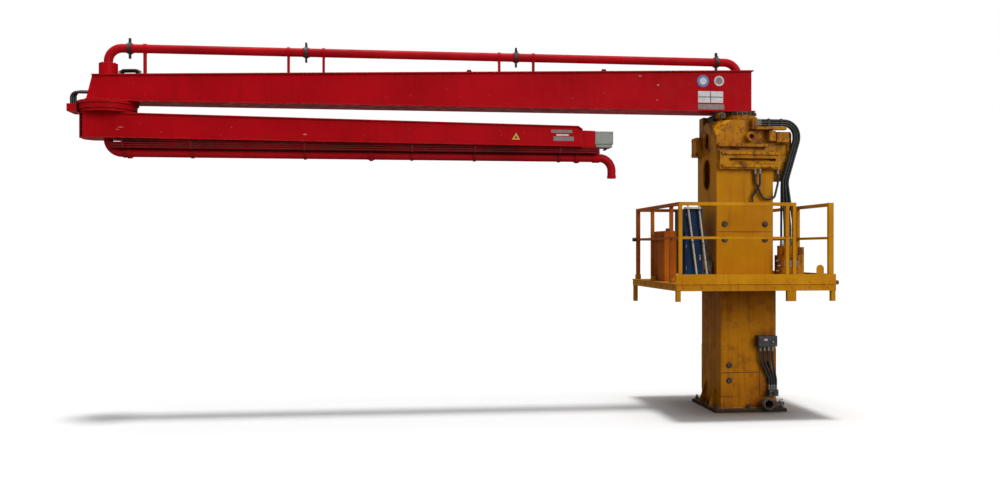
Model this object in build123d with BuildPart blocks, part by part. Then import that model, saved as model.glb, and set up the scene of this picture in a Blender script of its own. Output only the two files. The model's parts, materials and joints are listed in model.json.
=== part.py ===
"""Stationary concrete placing boom: a square mast with a service platform, and two arms that swing level.

Millimetres. +Z is up, the arms lie along -X at rest, and the front of the platform faces -Y. The origin is
the centre of the base plate's underside, on the slewing axis.
"""

import os
from math import hypot

from build123d import *

os.makedirs("parts", exist_ok=True)

# ---------------------------------------------------------------- general
seat_gap = 0.3  # between pieces that seat on each other
turn_gap = 5  # between pieces that turn past each other
bottom_up = (Align.CENTER, Align.CENTER, Align.MIN)
top_down = (Align.CENTER, Align.CENTER, Align.MAX)

# ---------------------------------------------------------------- mast
base_width = 1000
base_thick = 45
anchor_edge = 55  # from the plate's edge to the anchor holes
anchor_pitch = base_width - 2 * anchor_edge
anchor_r = 18
mast_width = 780
mast_wall = 12
upper_width = 800
upper_depth = 780
upper_offset = -50  # the upper sections stand this far towards the arm
foot_height = 485
lower_height = 1270
middle_height = 630
upper_height = 1080
flange_thick = 20
flange_edge = 20
foot_top = base_thick + foot_height
lower_top = foot_top + lower_height
middle_top = lower_top + flange_thick + middle_height
upper_top = middle_top + upper_height
left_side = upper_offset - upper_width / 2
right_side = upper_offset + upper_width / 2
strip_width = 230
strip_thick = 10
strip_reach = 320
pin_r = 38
pin_inset = 115  # from the side of the section to the pin's centre
pin_rise = 105  # from the joint to the pin's centre
pin_proud = 14
gusset_reach = 95
gusset_height = 330
gusset_thick = 20
gusset_offset = 200
window_width = 260
window_height = 420
window_drop = 280  # from the upper section's top to the window's middle
window_z = upper_top - window_drop

# ---------------------------------------------------------------- mast head and slewing ring
shoulder_height = 220
cone_height = 225
crown_height = 70
head_shoulder = upper_top + shoulder_height
head_top = head_shoulder + cone_height
head_top_r = 450
rim_r = 250
rim_thick = 20
crown_r = 265
crown_top = head_top + crown_height
small_window_width = 150
small_window_height = 220
small_window_drop = 35  # from the shoulder to the small window's middle
small_window_z = head_shoulder - small_window_drop
ring_r = 235
ring_bore = 150
ring_thick = 24
turntable_r = 250
turntable_thick = 20
moving_ring_bottom = crown_top + ring_thick + seat_gap
turntable_bottom = moving_ring_bottom + ring_thick
arm1_bottom = turntable_bottom + turntable_thick

# ---------------------------------------------------------------- concrete line
pipe_r = 57
pipe_wall = 5.5
clamp_r = 75
clamp_width = 44
clamp_ear = 132
clamp_ear_width = 26
clamp_ear_depth = 42
root_bend_r = 200
tip_bend_r = 175
pipe1_rise = 140  # from the root of arm 1's top to the pipe's centre
pipe2_drop = 175  # from arm 2's underside to the pipe's centre
pipe_joint_gap = 2
inlet_x = 228
inlet_z = 120
inlet_face = 560  # how far in front of the axis the inlet ends
inlet_ring_length = 60
lever_reach = 150

# ---------------------------------------------------------------- arm 1
arm1_reach = 8500  # from the slewing axis to the knuckle's
knuckle_x = -arm1_reach
arm1_root = 120
arm1_overhang = 145  # from the knuckle's axis to the tip, at the top
arm1_foot_overhang = 220
arm1_tip = knuckle_x - arm1_overhang
arm1_tip_foot = knuckle_x - arm1_foot_overhang
arm1_root_height = 576.7
arm1_tip_height = 336.7
arm1_root_top = arm1_bottom + arm1_root_height
arm1_tip_top = arm1_bottom + arm1_tip_height
pipe1_z = arm1_root_top + pipe1_rise
arm1_web_width = 400
arm1_flange_width = 460
arm1_flange = 16
arm1_web = 8

# ---------------------------------------------------------------- knuckle between the arms
knuckle_plate_r = 375
knuckle_plate_thick = 36
knuckle_ring_r = 355
knuckle_ring_thick = 66
lower_ring_r = 335
lower_ring_thick = 36
collar_r = 117
collar_height = 165
knuckle_plate_bottom = arm1_bottom - knuckle_plate_thick
knuckle_ring_bottom = knuckle_plate_bottom - knuckle_ring_thick
arm2_top = knuckle_ring_bottom - seat_gap - lower_ring_thick

# ---------------------------------------------------------------- arm 2
arm2_overhang = 330  # from the knuckle's axis to the beam's end
arm2_reach = 6240  # from the knuckle's axis to the beam's tip
arm2_height = 330
arm2_top_fall = 90  # from the knuckle end to the tip
arm2_bottom_fall = 40
arm2_end = knuckle_x - arm2_overhang
arm2_tip = knuckle_x + arm2_reach
arm2_tip_top = arm2_top - arm2_top_fall
arm2_bottom = arm2_top - arm2_height
arm2_tip_bottom = arm2_bottom - arm2_bottom_fall
pipe2_z = arm2_bottom - pipe2_drop
arm2_web_width = 350
arm2_flange_width = 400
arm2_flange = 14
arm2_web = 8
arm2_chamfer = 90
tip_piece_length = 190
tip_piece_end = arm2_tip + tip_piece_length
tip_piece_width = 240
tip_box_length = 250
tip_box_end = tip_piece_end + tip_box_length
tip_box_width = 250
tip_box_rise = 43
tip_box_height = 174
tip_box_bottom = arm2_tip_bottom + tip_box_rise
tip_box_top = tip_box_bottom + tip_box_height
outlet_x = tip_box_end + 5
outlet_drop = 280  # from the pipe's centre to the outlet's lower end
outlet_z = pipe2_z - outlet_drop

# ---------------------------------------------------------------- platform, from the mast outwards
frame_drop = 40  # from the lower section's top to the frame's top
frame_height = 85
frame_width = 60
frame_top = lower_top - frame_drop
frame_bottom = frame_top - frame_height
floor_thick = 8
floor_lip = 12  # how far the floor plate stands out past the frame
floor_top = frame_top + floor_thick
toe_height = 122
toe_top = floor_top + toe_height
toe_thick = 6
rail_height = 1044
rail_z = floor_top + rail_height
mid_rail_height = 588
mid_rail_z = floor_top + mid_rail_height
rail_size = 44
mid_rail_size = 32
rail_inset = 60
right_rail_inset = 50
front_leg_length = 135
rear_leg_length = 235
leg_size = 56
left_valve_gap = 32
left_valve_width = 158
left_valve_height = 284
cabinet_gap = 10
cabinet_width = 240
cabinet_front = -390
cabinet_back = 70
cabinet_foot = 100
cabinet_top = floor_top + 988
cabinet_wall = 4
cabinet_right = left_side - left_valve_gap - left_valve_width - cabinet_gap
cabinet_left = cabinet_right - cabinet_width
panel_thick = 3
tank_gap = 75
tank_width = 170
tank_front = -250
tank_back = 430
tank_top = floor_top + 690
tank_right = cabinet_left - tank_gap
tank_left = tank_right - tank_width
valve_left = mast_width / 2 + flange_edge + 8
valve_width = 240
valve_right = valve_left + valve_width
valve_front = -580
valve_back = -280
valve_step = 130
valve_height = 492
valve_top = floor_top + valve_height
side_valve_gap = 57
side_valve_width = 75
side_valve_left = valve_right + side_valve_gap
side_valve_right = side_valve_left + side_valve_width
side_valve_top = floor_top + 472
left_ledge = 115  # from the tank to the platform's edge
right_ledge = 90  # from the side valve to the platform's edge
plat_left = tank_left - left_ledge
plat_right = side_valve_right + right_ledge
plat_front = -1150
plat_back = 1000
entry_left = 345  # the front railing ends here, and the way in is open from here to the corner

# ---------------------------------------------------------------- helpers
def line_at(x, x0, z0, x1, z1):
    """Height at x of the straight line from (x0, z0) to (x1, z1)."""
    return z0 + (z1 - z0) * (x - x0) / (x1 - x0)


def arm1_top_at(x):
    return line_at(x, arm1_tip, arm1_tip_top, arm1_root, arm1_root_top)


def arm2_top_at(x):
    return line_at(x, arm2_end, arm2_top, arm2_tip, arm2_tip_top)


def arm2_bottom_at(x):
    return line_at(x, arm2_end, arm2_bottom, arm2_tip, arm2_tip_bottom)


def route(points, radii):
    """A path of straight runs joined by tangent arcs, one radius for each corner."""
    with BuildLine() as path:
        FilletPolyline(*points, radius=radii)
    return path.line


def start_plane(path):
    return Plane(origin=path @ 0, z_dir=path % 0)


def box_tube(width, depth, offset, wall, bottom, top):
    """A rectangular tube, open at both ends, whose middle is offset along X from the mast's axis."""
    with BuildPart() as tube:
        with BuildSketch(Plane.XY.offset(bottom)):
            with Locations((offset, 0)):
                Rectangle(width, depth)
                Rectangle(width - 2 * wall, depth - 2 * wall, mode=Mode.SUBTRACT)
        extrude(amount=top - bottom)
    return tube.part


def coned_box(width, depth, offset, bottom, shoulder, top, top_r):
    """A block whose corners are turned down to a cone about the slewing axis from the shoulder up."""
    corner_r = hypot(width / 2 + abs(offset), depth / 2)
    with BuildPart() as block:
        with Locations((offset, 0, bottom)):
            Box(width, depth, top - bottom, align=bottom_up)
        with BuildSketch(Plane.XZ):
            with BuildLine():
                Polyline(
                    (corner_r, shoulder),
                    (top_r, top),
                    (top_r, top + width),
                    (2 * width, top + width),
                    (2 * width, shoulder),
                    close=True,
                )
            make_face()
        revolve(axis=Axis.Z, mode=Mode.SUBTRACT)
    return block.part


def block(x0, x1, y0, y1, z0, z1):
    """A box between the given limits along X, Y and Z."""
    with BuildPart() as made:
        with Locations(((x0 + x1) / 2, (y0 + y1) / 2, (z0 + z1) / 2)):
            Box(x1 - x0, y1 - y0, z1 - z0)
    return made.part


def pin_places(width, offset, joint):
    """Centres of the joint pins on the front face of a section: two columns, above and below the joint."""
    x = width / 2 - pin_inset
    return [(offset + side * x, joint + step * pin_rise) for side in (-1, 1) for step in (-1, 1)]


foot_pins = pin_places(mast_width, 0, foot_top)
upper_pins = pin_places(upper_width, upper_offset, middle_top)


# ---------------------------------------------------------------- base plate and mast sections
with BuildPart() as base_plate:
    with BuildSketch():
        Rectangle(base_width, base_width)
        with GridLocations(anchor_pitch, anchor_pitch, 2, 2):
            Circle(anchor_r, mode=Mode.SUBTRACT)
        with Locations(*[(side * anchor_pitch / 2, 0) for side in (-1, 1)]):
            Circle(anchor_r, mode=Mode.SUBTRACT)
        with Locations(*[(0, side * anchor_pitch / 2) for side in (-1, 1)]):
            Circle(anchor_r, mode=Mode.SUBTRACT)
    extrude(amount=base_thick)
base_plate.part.label = "base_plate"

with BuildPart() as mast_foot:
    add(box_tube(mast_width, mast_width, 0, mast_wall, base_thick, foot_top))
    for side in (-1, 1):
        for y in (-gusset_offset, gusset_offset):
            with BuildSketch(Plane.XZ.offset(-y - gusset_thick / 2)):
                with BuildLine():
                    Polyline(
                        (side * mast_width / 2, base_thick),
                        (side * (mast_width / 2 + gusset_reach), base_thick),
                        (side * (mast_width / 2 + gusset_reach), base_thick + 40),
                        (side * mast_width / 2, base_thick + gusset_height),
                        close=True,
                    )
                make_face()
            extrude(amount=gusset_thick)
    with Locations(*[(sx * (mast_width - strip_width) / 2, sy * (mast_width + strip_thick) / 2, foot_top)
                     for sx in (-1, 1) for sy in (-1, 1)]):
        Box(strip_width, strip_thick, strip_reach, align=top_down)
    with Locations(*[(x, 0, z) for x, z in foot_pins if z < foot_top]):
        Cylinder(pin_r + seat_gap, base_width, rotation=(90, 0, 0), mode=Mode.SUBTRACT)
    with Locations((inlet_x, -mast_width / 2, inlet_z)):
        Cylinder(pipe_r + seat_gap, 4 * mast_wall, rotation=(90, 0, 0), mode=Mode.SUBTRACT)
mast_foot.part.label = "mast_foot"

with BuildPart() as mast_lower_section:
    add(box_tube(mast_width, mast_width, 0, mast_wall, foot_top, lower_top))
    with Locations(*[(sx * (mast_width - strip_width) / 2, sy * (mast_width + strip_thick) / 2, foot_top)
                     for sx in (-1, 1) for sy in (-1, 1)]):
        Box(strip_width, strip_thick, strip_reach, align=bottom_up)
    flange_left = left_side - flange_edge
    flange_right = mast_width / 2 + flange_edge
    opening_left = mast_wall - mast_width / 2
    opening_right = right_side - mast_wall
    with BuildSketch(Plane.XY.offset(lower_top)):
        with Locations(((flange_left + flange_right) / 2, 0)):
            Rectangle(flange_right - flange_left, mast_width + 2 * flange_edge)
        with Locations(((opening_left + opening_right) / 2, 0)):
            Rectangle(opening_right - opening_left, mast_width - 2 * mast_wall, mode=Mode.SUBTRACT)
    extrude(amount=flange_thick)
    with Locations(*[(x, 0, z) for x, z in foot_pins if z > foot_top]):
        Cylinder(pin_r + seat_gap, base_width, rotation=(90, 0, 0), mode=Mode.SUBTRACT)
mast_lower_section.part.label = "mast_lower_section"

with BuildPart() as mast_middle_section:
    add(box_tube(upper_width, upper_depth, upper_offset, mast_wall, lower_top + flange_thick, middle_top))
    with Locations(*[(x, 0, z) for x, z in upper_pins if z < middle_top]):
        Cylinder(pin_r + seat_gap, base_width, rotation=(90, 0, 0), mode=Mode.SUBTRACT)
mast_middle_section.part.label = "mast_middle_section"

with BuildPart() as mast_upper_section:
    add(box_tube(upper_width, upper_depth, upper_offset, mast_wall, middle_top, upper_top))
    with Locations(*[(x, 0, z) for x, z in upper_pins if z > middle_top]):
        Cylinder(pin_r + seat_gap, base_width, rotation=(90, 0, 0), mode=Mode.SUBTRACT)
    with BuildSketch(Plane.YZ.offset(-upper_width)):
        with Locations((0, window_z)):
            SlotOverall(window_height, window_width, rotation=90)
    extrude(amount=2 * upper_width, mode=Mode.SUBTRACT)
mast_upper_section.part.label = "mast_upper_section"

with BuildPart() as mast_joint_pins:
    for places, added in ((foot_pins, strip_thick), (upper_pins, 0)):
        proud = pin_proud + added
        for x, z in places:
            for side in (-1, 1):
                face = side * (upper_depth / 2 + proud)
                with Locations((x, face - side * (proud + 3 * mast_wall) / 2, z)):
                    Cylinder(pin_r, proud + 3 * mast_wall, rotation=(90, 0, 0))
mast_joint_pins.part.label = "mast_joint_pins"

# the gear case of the slewing drive, cast on the head's back left corner
gear_left = left_side + 20
gear_right = gear_left + 130
gear_back = upper_depth / 2 - 5
gear_front = gear_back - 170
gear_gap = 30  # to the arm that slews over it

with BuildPart() as mast_head:
    add(coned_box(upper_width, upper_depth, upper_offset, upper_top, head_shoulder, head_top, head_top_r))
    add(
        coned_box(
            upper_width - 2 * mast_wall,
            upper_depth - 2 * mast_wall,
            upper_offset,
            upper_top,
            head_shoulder - mast_wall,
            head_top - mast_wall,
            head_top_r - 2 * mast_wall,
        ),
        mode=Mode.SUBTRACT,
    )
    with Locations((0, 0, head_top)):
        Cylinder(rim_r, rim_thick, align=bottom_up)
    with Locations((0, 0, head_top + rim_thick)):
        Cylinder(crown_r, crown_top - head_top - rim_thick, align=bottom_up)
    with BuildSketch(Plane.YZ.offset(-upper_width)):
        with Locations((0, small_window_z)):
            SlotOverall(small_window_height, small_window_width, rotation=90)
    extrude(amount=2 * upper_width, mode=Mode.SUBTRACT)
    with Locations((0, 0, (head_top + crown_top) / 2)):
        Cylinder(pipe_r + seat_gap, 2 * (crown_top - head_top), mode=Mode.SUBTRACT)
    add(block(gear_left, gear_right, gear_front, gear_back, head_shoulder + 10, arm1_bottom - gear_gap))
mast_head.part.label = "mast_head"

# ---------------------------------------------------------------- slotted frame and fittings on the head
slot_frame_left = left_side + 24
slot_frame_right = right_side + 70
slot_frame_height = 255
slot_frame_bottom = upper_top - 230
slot_frame_top = slot_frame_bottom + slot_frame_height
slot_frame_depth = 75
slot_frame_rib = 24
slot_length = 660
slot_height = 34
slot_middle = 30
face_y = -upper_depth / 2 - seat_gap  # just in front of the head's front face
left_x = left_side - seat_gap
right_x = right_side + seat_gap

with BuildPart() as head_slot_frame:
    middle_x = (slot_frame_left + slot_frame_right) / 2
    middle_z = (slot_frame_bottom + slot_frame_top) / 2
    slot_frame_front = face_y - slot_frame_depth
    with BuildSketch(Plane.XZ.offset(-face_y)):
        with Locations((middle_x, middle_z)):
            Rectangle(slot_frame_right - slot_frame_left, slot_frame_height)
        with Locations((slot_middle, middle_z)):
            SlotOverall(slot_length, slot_height, mode=Mode.SUBTRACT)
    extrude(amount=slot_frame_depth)
    rib_length = slot_frame_right - slot_frame_left - 2 * slot_frame_rib
    for rib_z in (slot_frame_top - 40, slot_frame_bottom + 40):
        with Locations((middle_x, slot_frame_front, rib_z)):
            Box(rib_length, slot_frame_rib, 40, align=(Align.CENTER, Align.MAX, Align.CENTER))
head_slot_frame.part.label = "head_slot_frame"

boss_x = 15
boss_z = head_shoulder - 5
boss_r = 65
boss_depth = 80
hose_shelf_top = head_shoulder + 130
hose_shelf_thick = 40
manifold_left = 30
manifold_right = 90
manifold_top = head_top + 15
# x low, x high, depth in front of the face, z low, z high of the shelves and blocks on the head's front
front_blocks = [
    (left_side + 20, right_side - 100, 60, upper_top + 76, upper_top + 116),
    (right_side - 88, right_side, 95, head_shoulder - 67, head_shoulder + 72),
    (manifold_left - 10, right_side + 157, 92, hose_shelf_top - hose_shelf_thick, hose_shelf_top),
    (manifold_left, manifold_right, 84, hose_shelf_top + seat_gap, manifold_top),
]
lug_reach = 95
lug_bottom = upper_top - 4
lug_top = head_shoulder + 45
with BuildPart() as head_brackets:
    for x0, x1, depth, z0, z1 in front_blocks:
        add(block(x0, x1, face_y - depth, face_y, z0, z1))
    add(block(left_x - lug_reach, left_x, 180, upper_depth / 2 - 5, lug_bottom, lug_top))
    with Locations((boss_x, face_y - boss_depth / 2, boss_z)):
        Cylinder(boss_r, boss_depth, rotation=(90, 0, 0))
        Cylinder(boss_r / 2, 2 * boss_depth, rotation=(90, 0, 0), mode=Mode.SUBTRACT)
head_brackets.part.label = "head_brackets"

side_bracket_front = -upper_depth / 2 + 5
side_bracket_back = side_bracket_front + 235
# outline of the bracket: distance from the mast's right side, height above the head's shoulder
side_bracket_outline = [
    (seat_gap, 70),
    (250, 70),
    (265, 40),
    (265, -90),
    (305, -120),
    (305, -270),
    (260, -320),
    (250, -370),
    (220, -390),
    (220, -560),
    (180, -600),
    (seat_gap, -600),
]
# left and right of the box on its front, and of the pocket in it, with their heights, from the same corner
side_box = (22 + seat_gap, 195, -80, 50)
side_pocket = (40, 210, -260, -95)
side_boss_x = right_side + 250
side_boss_z = head_shoulder - 195
side_boss_r = 38
with BuildPart() as head_side_bracket:
    with BuildSketch(Plane.XZ.offset(-side_bracket_front)):
        with BuildLine():
            Polyline(*[(right_side + x, head_shoulder + z) for x, z in side_bracket_outline], close=True)
        make_face()
    extrude(amount=side_bracket_front - side_bracket_back)
    x0, x1, z0, z1 = side_box
    add(block(right_side + x0, right_side + x1, side_bracket_front - 85, side_bracket_front + 20,
              head_shoulder + z0, head_shoulder + z1))
    x0, x1, z0, z1 = side_pocket
    add(block(right_side + x0, right_side + x1, side_bracket_front - 30, side_bracket_front + 30,
              head_shoulder + z0, head_shoulder + z1), mode=Mode.SUBTRACT)
    with Locations((side_boss_x, side_bracket_front, side_boss_z)):
        Cylinder(side_boss_r, 20, rotation=(90, 0, 0))
head_side_bracket.part.label = "head_side_bracket"

head_hose_r = 15
hose_y = face_y - 40
under_frame = slot_frame_bottom - seat_gap
# route and corner radii of the two hoses that hang under the slotted frame
head_hose_routes = [
    (
        [
            (80, hose_y, under_frame),
            (80, hose_y, slot_frame_bottom - 170),
            (190, hose_y, slot_frame_bottom - 400),
            (350, hose_y, slot_frame_bottom - 400),
            (402, hose_y, slot_frame_bottom - 190),
            (402, hose_y, under_frame),
        ],
        [130, 70, 65, 150],
    ),
    (
        [
            (135, hose_y - 34, under_frame),
            (135, hose_y - 34, slot_frame_bottom - 210),
            (40, hose_y, slot_frame_bottom - 370),
            (40, hose_y, slot_frame_bottom - 470),
            (40, face_y - seat_gap, slot_frame_bottom - 470),
        ],
        [120, 45, 24],
    ),
]
with BuildPart() as head_hoses:
    for points, radii in head_hose_routes:
        path = route(points, radii)
        with BuildSketch(start_plane(path)):
            Circle(head_hose_r)
        sweep(path=path)
head_hoses.part.label = "head_hoses"

# ---------------------------------------------------------------- slewing drive on the mast head
drive_x = -crown_r - 65
worm_case_r = 50
worm_case_length = 330
drive_motor_r = 42
drive_motor_length = 150
pinion_case_width = 120

with BuildPart() as slew_drive:
    case_z = head_top + rim_thick + worm_case_r + seat_gap
    with Locations((drive_x, 0, case_z)):
        Cylinder(worm_case_r, worm_case_length, rotation=(90, 0, 0))
    with Locations((drive_x, -(worm_case_length + drive_motor_length) / 2, case_z)):
        Cylinder(drive_motor_r, drive_motor_length, rotation=(90, 0, 0))
    with Locations((drive_x, 0, head_top + seat_gap)):
        Box(pinion_case_width, 0.6 * worm_case_length, case_z - head_top - seat_gap, align=bottom_up)
    with Locations((0, 0, head_top)):
        Cylinder(crown_r + seat_gap, 4 * worm_case_r, mode=Mode.SUBTRACT)
slew_drive.part.label = "slew_drive"

with BuildPart() as slew_ring_fixed:
    with BuildSketch(Plane.XY.offset(crown_top)):
        Circle(ring_r)
        Circle(ring_bore, mode=Mode.SUBTRACT)
    extrude(amount=ring_thick)
slew_ring_fixed.part.label = "slew_ring_fixed"

# ---------------------------------------------------------------- concrete riser and inlet
riser_route = [
    (0, 0, crown_top),
    (0, 0, 760),
    (inlet_x, 0, 400),
    (inlet_x, 0, inlet_z),
    (inlet_x, inlet_ring_length - inlet_face, inlet_z),
]
with BuildPart() as concrete_riser:
    riser_path = route(riser_route, [300, 300, 150])
    with BuildSketch(start_plane(riser_path)):
        Circle(pipe_r)
        Circle(pipe_r - pipe_wall, mode=Mode.SUBTRACT)
    sweep(path=riser_path)
concrete_riser.part.label = "concrete_riser"

with BuildPart() as inlet_ring:
    with BuildSketch(Plane.XZ.offset(inlet_face - inlet_ring_length)):
        with Locations((inlet_x, inlet_z)):
            Circle(clamp_r)
            Circle(pipe_r - pipe_wall, mode=Mode.SUBTRACT)
    extrude(amount=inlet_ring_length)
    lever_root = inlet_x + pipe_r + 4
    with Locations((lever_root, inlet_ring_length / 2 - inlet_face, inlet_z)):
        Box(lever_reach, inlet_ring_length - 10, 46, align=(Align.MIN, Align.CENTER, Align.CENTER))
inlet_ring.part.label = "inlet_ring"

# ---------------------------------------------------------------- junction box and hoses at the foot
junction_left = 100
junction_right = 365
junction_bottom = foot_top + 360
junction_top = junction_bottom + 145
junction_depth = 110
foot_hose_r = 15
mast_face = -mast_width / 2 - seat_gap

with BuildPart() as junction_box:
    with Locations(((junction_left + junction_right) / 2, mast_face, junction_bottom)):
        Box(
            junction_right - junction_left,
            junction_depth,
            junction_top - junction_bottom,
            align=(Align.CENTER, Align.MAX, Align.MIN),
        )
junction_box.part.label = "junction_box"

foot_block_right = mast_width / 2 - 5
foot_block_width = 130
foot_block_left = foot_block_right - foot_block_width
foot_block_bottom = base_thick + 171
foot_block_top = foot_block_bottom + 84
foot_block_depth = 95
with BuildPart() as foot_block:
    strip_face = mast_face - strip_thick
    with Locations((foot_block_left, strip_face, foot_block_bottom)):
        Box(
            foot_block_width,
            foot_block_depth,
            foot_block_top - foot_block_bottom,
            align=(Align.MIN, Align.MAX, Align.MIN),
        )
foot_block.part.label = "foot_block"

with BuildPart() as foot_hoses:
    for n in range(4):
        start_x = junction_left + 50 + 55 * n
        end_x = foot_block_left + 20 + 30 * n
        y = mast_face - 48 - 6 * n
        path = route(
            [
                (start_x, y, junction_bottom - seat_gap),
                (start_x, y, junction_bottom - 190),
                (end_x, y, foot_block_top + 140),
                (end_x, y, foot_block_top + seat_gap),
            ],
            [160, 160],
        )
        with BuildSketch(start_plane(path)):
            Circle(foot_hose_r)
        sweep(path=path)
foot_hoses.part.label = "foot_hoses"

# ---------------------------------------------------------------- platform
rail_left = plat_left + rail_inset
rail_right = plat_right - right_rail_inset
rail_front = plat_front + rail_inset / 2
rail_back = plat_back - rail_inset
hole_width = mast_width + 2 * seat_gap
leg_inset = leg_size / 2 + 5
entry_leg_width = 120

with BuildPart() as platform_frame:
    with BuildSketch(Plane.XY.offset(frame_bottom)):
        with Locations(((plat_left + plat_right) / 2, (plat_front + plat_back) / 2)):
            Rectangle(plat_right - plat_left, plat_back - plat_front)
            Rectangle(
                plat_right - plat_left - 2 * frame_width,
                plat_back - plat_front - 2 * frame_width,
                mode=Mode.SUBTRACT,
            )
        for side in (-1, 1):
            with Locations(((plat_left + plat_right) / 2, side * (hole_width + frame_width) / 2)):
                Rectangle(plat_right - plat_left - frame_width, frame_width)
            with Locations((side * (hole_width + frame_width) / 2, (plat_front + plat_back) / 2)):
                Rectangle(frame_width, plat_back - plat_front - frame_width)
    extrude(amount=frame_top - frame_bottom)
    for y, length in ((plat_front + leg_inset, front_leg_length), (plat_back - leg_inset, rear_leg_length)):
        with Locations(*[(x, y, frame_bottom) for x in (plat_left + leg_inset, plat_right - leg_inset)]):
            Box(leg_size, leg_size, length, align=top_down)
    with Locations((entry_left - entry_leg_width / 2, plat_front + leg_inset, frame_bottom)):
        Box(entry_leg_width, leg_size, front_leg_length, align=top_down)
platform_frame.part.label = "platform_frame"

with BuildPart() as platform_floor:
    with BuildSketch(Plane.XY.offset(frame_top)):
        with Locations(((plat_left + plat_right) / 2, (plat_front + plat_back) / 2)):
            Rectangle(plat_right - plat_left + 2 * floor_lip, plat_back - plat_front + 2 * floor_lip)
        Rectangle(hole_width, hole_width, mode=Mode.SUBTRACT)
    extrude(amount=floor_thick)
platform_floor.part.label = "platform_floor"

toe_hook_left = plat_right - 265
toe_hook_width = 100
toe_hook_top = toe_top + 120
with BuildPart() as toe_boards:
    with Locations((plat_left, plat_front, floor_top)):
        Box(plat_right - plat_left, toe_thick, toe_height, align=(Align.MIN, Align.MIN, Align.MIN))
    with Locations((plat_right, plat_front, floor_top)):
        Box(toe_thick, plat_back - plat_front, toe_height, align=(Align.MAX, Align.MIN, Align.MIN))
    with Locations((plat_right, plat_back, floor_top)):
        Box((plat_right - plat_left) / 2, toe_thick, toe_height, align=(Align.MAX, Align.MAX, Align.MIN))
    hook_middle = toe_hook_left + toe_hook_width / 2
    with BuildSketch(Plane.XZ.offset(-plat_front - toe_thick)):
        with BuildLine():
            hook_left = toe_hook_left, toe_hook_top - toe_hook_width / 2
            hook_right = toe_hook_left + toe_hook_width, toe_hook_top - toe_hook_width / 2
            Polyline(hook_left, (hook_left[0], toe_top - 1), (hook_right[0], toe_top - 1), hook_right)
            ThreePointArc(hook_right, (hook_middle, toe_hook_top), hook_left)
        make_face()
    extrude(amount=toe_thick)
toe_boards.part.label = "toe_boards"


def railing(start, end, posts):
    """A straight railing between two plan points, with posts at the given fractions of its length."""
    (x0, y0), (x1, y1) = start, end
    length = hypot(x1 - x0, y1 - y0)
    along = Plane(origin=(x0, y0, floor_top), x_dir=(x1 - x0, y1 - y0, 0), z_dir=(0, 0, 1))
    with BuildPart(along) as rail:
        with Locations((length / 2, 0, rail_z - floor_top)):
            Box(length + rail_size, rail_size, rail_size, align=top_down)
        with Locations((length / 2, 0, mid_rail_z - floor_top)):
            Box(length, mid_rail_size, mid_rail_size)
        with Locations(*[(fraction * length, 0, 0) for fraction in posts]):
            Box(rail_size, rail_size, rail_z - floor_top, align=bottom_up)
    return rail.part


side_gap = rail_size + 2 * seat_gap
knob_r = 26
knob_reach = 56
with BuildPart() as railing_front:
    front_length = entry_left - rail_size / 2 - rail_left
    entry_post = 1 - 95 / front_length
    add(railing((rail_left, rail_front), (rail_left + front_length, rail_front), [0, entry_post, 1]))
railing_front.part.label = "railing_front"

with BuildPart() as railing_left:
    add(railing((rail_left, rail_front + side_gap), (rail_left, rail_back - side_gap), [0.17, 0.62, 1]))
railing_left.part.label = "railing_left"

with BuildPart() as railing_rear:
    add(railing((rail_left, rail_back), (rail_right, rail_back), [0, 0.33, 0.67, 1]))
    with Locations((rail_left - rail_size / 2, rail_back, mid_rail_z)):
        Cylinder(knob_r, knob_reach, rotation=(0, -90, 0), align=bottom_up)
railing_rear.part.label = "railing_rear"

second_post_inset = 25
with BuildPart() as railing_right:
    add(railing((rail_right, rail_front), (rail_right, rail_back - side_gap), [0, 0.5, 1]))
    with Locations((rail_right - second_post_inset, rail_front, floor_top)):
        Box(rail_size, rail_size, rail_z - floor_top, align=bottom_up)
    with Locations((plat_right + floor_lip + 2 * seat_gap, rail_front, frame_top + 20)):
        Cylinder(knob_r, 30, rotation=(0, 90, 0), align=bottom_up)
railing_right.part.label = "railing_right"

# ---------------------------------------------------------------- cabinets and valve blocks on the platform
cabinet_bottom = floor_top + cabinet_foot
plinth_inset = 30
with BuildPart() as blue_cabinet:
    add(block(cabinet_left, cabinet_right, cabinet_front, cabinet_back, cabinet_bottom, cabinet_top))
    add(
        block(
            cabinet_left + cabinet_wall,
            cabinet_right - cabinet_wall,
            cabinet_front - cabinet_wall,
            cabinet_back - cabinet_wall,
            cabinet_bottom + cabinet_wall,
            cabinet_top - cabinet_wall,
        ),
        mode=Mode.SUBTRACT,
    )
    add(
        block(
            cabinet_left + plinth_inset,
            cabinet_right - plinth_inset,
            cabinet_front + plinth_inset,
            cabinet_back - plinth_inset,
            floor_top,
            cabinet_bottom,
        )
    )
blue_cabinet.part.label = "blue_cabinet"

with BuildPart() as cabinet_front_panel:
    panel_back = cabinet_front - seat_gap
    add(block(cabinet_left, cabinet_right, panel_back - panel_thick, panel_back, cabinet_bottom, cabinet_top))
cabinet_front_panel.part.label = "cabinet_front_panel"

conduit_r = 13
conduit_y = cabinet_front - 50
# foot and head of each conduit along X from the cabinet's right side, and its head's height above the floor
conduits = [(58, -68, 1047), (-82, -222, 1067)]
with BuildPart() as platform_conduits:
    for foot, head, height in conduits:
        foot_x = cabinet_right + foot
        run = Vector(head - foot, 0, height - 12)
        with BuildSketch(Plane(origin=(foot_x, conduit_y, floor_top + 12), z_dir=run)):
            Circle(conduit_r)
        extrude(amount=run.length)
        with Locations((foot_x, conduit_y, floor_top + seat_gap)):
            Cylinder(2 * conduit_r, 24, align=bottom_up)
    clip_bottom = cabinet_top + seat_gap
    clip_top = cabinet_top + 24
    clip_front = conduit_y - 22
    clip_back = cabinet_front + 60
    add(block(cabinet_left - 5, cabinet_right - 40, clip_front, clip_back, clip_bottom, clip_top))
platform_conduits.part.label = "platform_conduits"

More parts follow.
